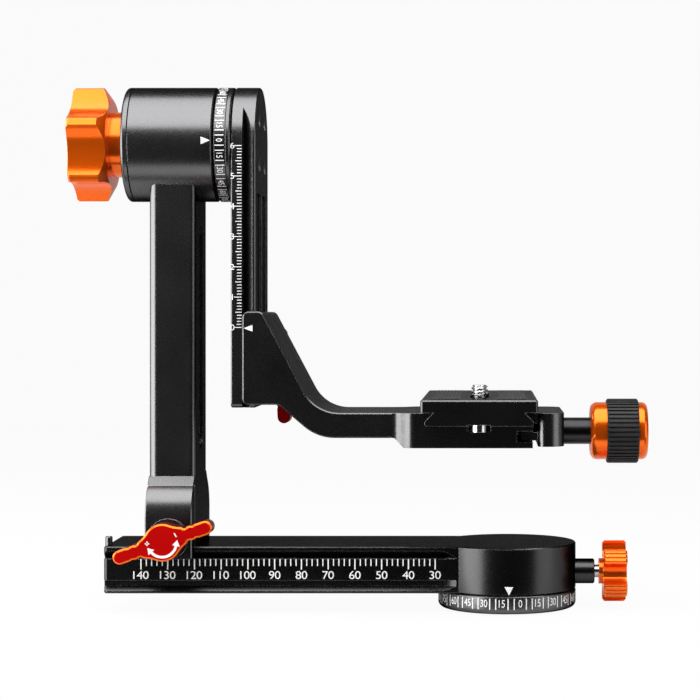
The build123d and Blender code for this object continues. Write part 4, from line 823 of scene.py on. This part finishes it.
# --- Studio ---------------------------------------------------------------------------------------
# A white paper sweep under a large soft box, one more at each side and a card below, seen through
# a long level lens whose picture is shifted to frame the head. Only the camera sees sweep and room
# fully white; the head's faces mirror a dimmer white, as they do in a darkened studio.
FLOOR_LEVEL = -0.0006
SWEEP_START = -0.045
SWEEP_DEPTH = 1.2
SWEEP_RADIUS = 0.6
SWEEP_RISE = 1.6
SWEEP_HALF_WIDTH = 2.2
SWEEP_ROWS = 41
SWEEP_COLUMNS = 9
FLAT_SHARE = 0.4
TURN_SHARE = 0.3
WHITE_SEEN = 0.95
WHITE_MIRRORED = 0.3
ROOM_GREY = (0.018, 0.018, 0.019, 1.0)
ROOM_WHITE = (1.0, 1.0, 1.0, 1.0)
LENS_LENGTH = 103.17
LENS_SHIFT = (-0.2, -0.0457)
CAMERA_PLACE = (-0.0065, -0.769, 0.110)


def sweep_surface():
    """Floor and backdrop as one sheet; parameter 1 runs back and up it, parameter 2 across.

    The depth is start + length * flat + radius * sin(turn) and the height above the floor is
    radius * (1 - cos(turn)) + wall * rise; flat, turn and rise grow one after the other.
    """
    u = np.linspace(0, 1, SWEEP_ROWS)
    flat = np.clip(u / FLAT_SHARE, 0, 1)
    turn = np.clip((u - FLAT_SHARE) / TURN_SHARE, 0, 1) * math.pi / 2
    rise = np.clip((u - FLAT_SHARE - TURN_SHARE) / TURN_SHARE, 0, 1)
    depth = SWEEP_START + SWEEP_DEPTH * flat + SWEEP_RADIUS * np.sin(turn)
    height = FLOOR_LEVEL + SWEEP_RADIUS * (1 - np.cos(turn)) + SWEEP_RISE * rise
    width = np.linspace(-SWEEP_HALF_WIDTH, SWEEP_HALF_WIDTH, SWEEP_COLUMNS)
    y, x = np.meshgrid(depth, width, indexing="ij")
    z = np.repeat(height[:, None], SWEEP_COLUMNS, 1)
    index = np.arange(x.size).reshape(x.shape)
    faces = np.stack([index[:-1, :-1], index[:-1, 1:], index[1:, 1:], index[1:, :-1]], -1)
    return np.stack([x, y, z], -1).reshape(-1, 3), faces.reshape(-1, 4)


sweep_points, sweep_faces = sweep_surface()
sweep_mesh = bpy.data.meshes.new("paper_sweep")
sweep_mesh.from_pydata(sweep_points.tolist(), [], sweep_faces.tolist())
paper = Finish("white_paper")
paper.set(Base_Color=(0.6, 0.6, 0.6), Roughness=0.9, Specular_IOR_Level=0.0)
seen = paper.node("ShaderNodeLightPath", output="Is Camera Ray")
mirrored = paper.node("ShaderNodeLightPath", output="Is Glossy Ray")
through = paper.node("ShaderNodeLightPath", output="Is Transmission Ray")
glow = paper.node("ShaderNodeEmission", None, {"Color": (1.0, 1.0, 1.0), "Strength": 1.0})
lit = Wire(paper, paper.shader.outputs[0])
share = WHITE_SEEN * seen + WHITE_MIRRORED * (mirrored + through)
sheet = paper.node("ShaderNodeMixShader", None, {0: share, 1: lit, 2: glow})
paper.tree.links.new(sheet.socket, paper.tree.nodes["Material Output"].inputs[0])
sweep_mesh.materials.append(paper.material)
sweep = bpy.data.objects.new("paper_sweep", sweep_mesh)
bpy.context.scene.collection.objects.link(sweep)

room = bpy.data.worlds.new("studio_room")
bpy.context.scene.world = room
room.use_nodes = True
dim = room.node_tree.nodes["Background"]
dim.inputs[0].default_value = ROOM_GREY
bright = room.node_tree.nodes.new("ShaderNodeBackground")
bright.inputs[0].default_value = ROOM_WHITE
viewed = room.node_tree.nodes.new("ShaderNodeLightPath")
either = room.node_tree.nodes.new("ShaderNodeMixShader")
room.node_tree.links.new(viewed.outputs["Is Camera Ray"], either.inputs[0])
room.node_tree.links.new(dim.outputs[0], either.inputs[1])
room.node_tree.links.new(bright.outputs[0], either.inputs[2])
room.node_tree.links.new(either.outputs[0], room.node_tree.nodes["World Output"].inputs[0])


def soft_box(name, place, aim, size, power):
    """A rectangular soft box that looks from its place at a point, its first size level."""
    lamp = bpy.data.lights.new(name, "AREA")
    lamp.shape = "RECTANGLE"
    lamp.size = size[0]
    lamp.size_y = size[1]
    lamp.energy = power
    box = bpy.data.objects.new(name, lamp)
    ahead = Vector(aim) - Vector(place)
    box.location = place
    box.rotation_euler = ahead.to_track_quat("-Z", "Y").to_euler()
    bpy.context.scene.collection.objects.link(box)


soft_box("overhead_box", (-0.07, -0.169, 0.537), (-0.07, 0.0, 0.12), (0.95, 0.6), 7.8)
soft_box("left_box", (-0.72, -0.08, 0.13), (-0.07, 0.0, 0.1), (1.3, 0.6), 14.0)
soft_box("right_box", (0.634, -0.296, 0.12), (0.0, 0.0, 0.08), (0.45, 0.6), 1.3)
soft_box("low_card", (-0.05, -0.3, -0.28), (-0.05, 0.0, 0.12), (0.7, 0.22), 0.6)

lens = bpy.data.cameras.new("long_lens")
lens.lens = LENS_LENGTH
lens.sensor_width = 36.0
lens.shift_x, lens.shift_y = LENS_SHIFT
lens.clip_start = 0.05
camera = bpy.data.objects.new("long_lens", lens)
camera.location = CAMERA_PLACE
camera.rotation_euler = (math.radians(90), 0.0, 0.0)
bpy.context.scene.collection.objects.link(camera)
bpy.context.scene.camera = camera
bpy.context.scene.view_settings.view_transform = "Standard"
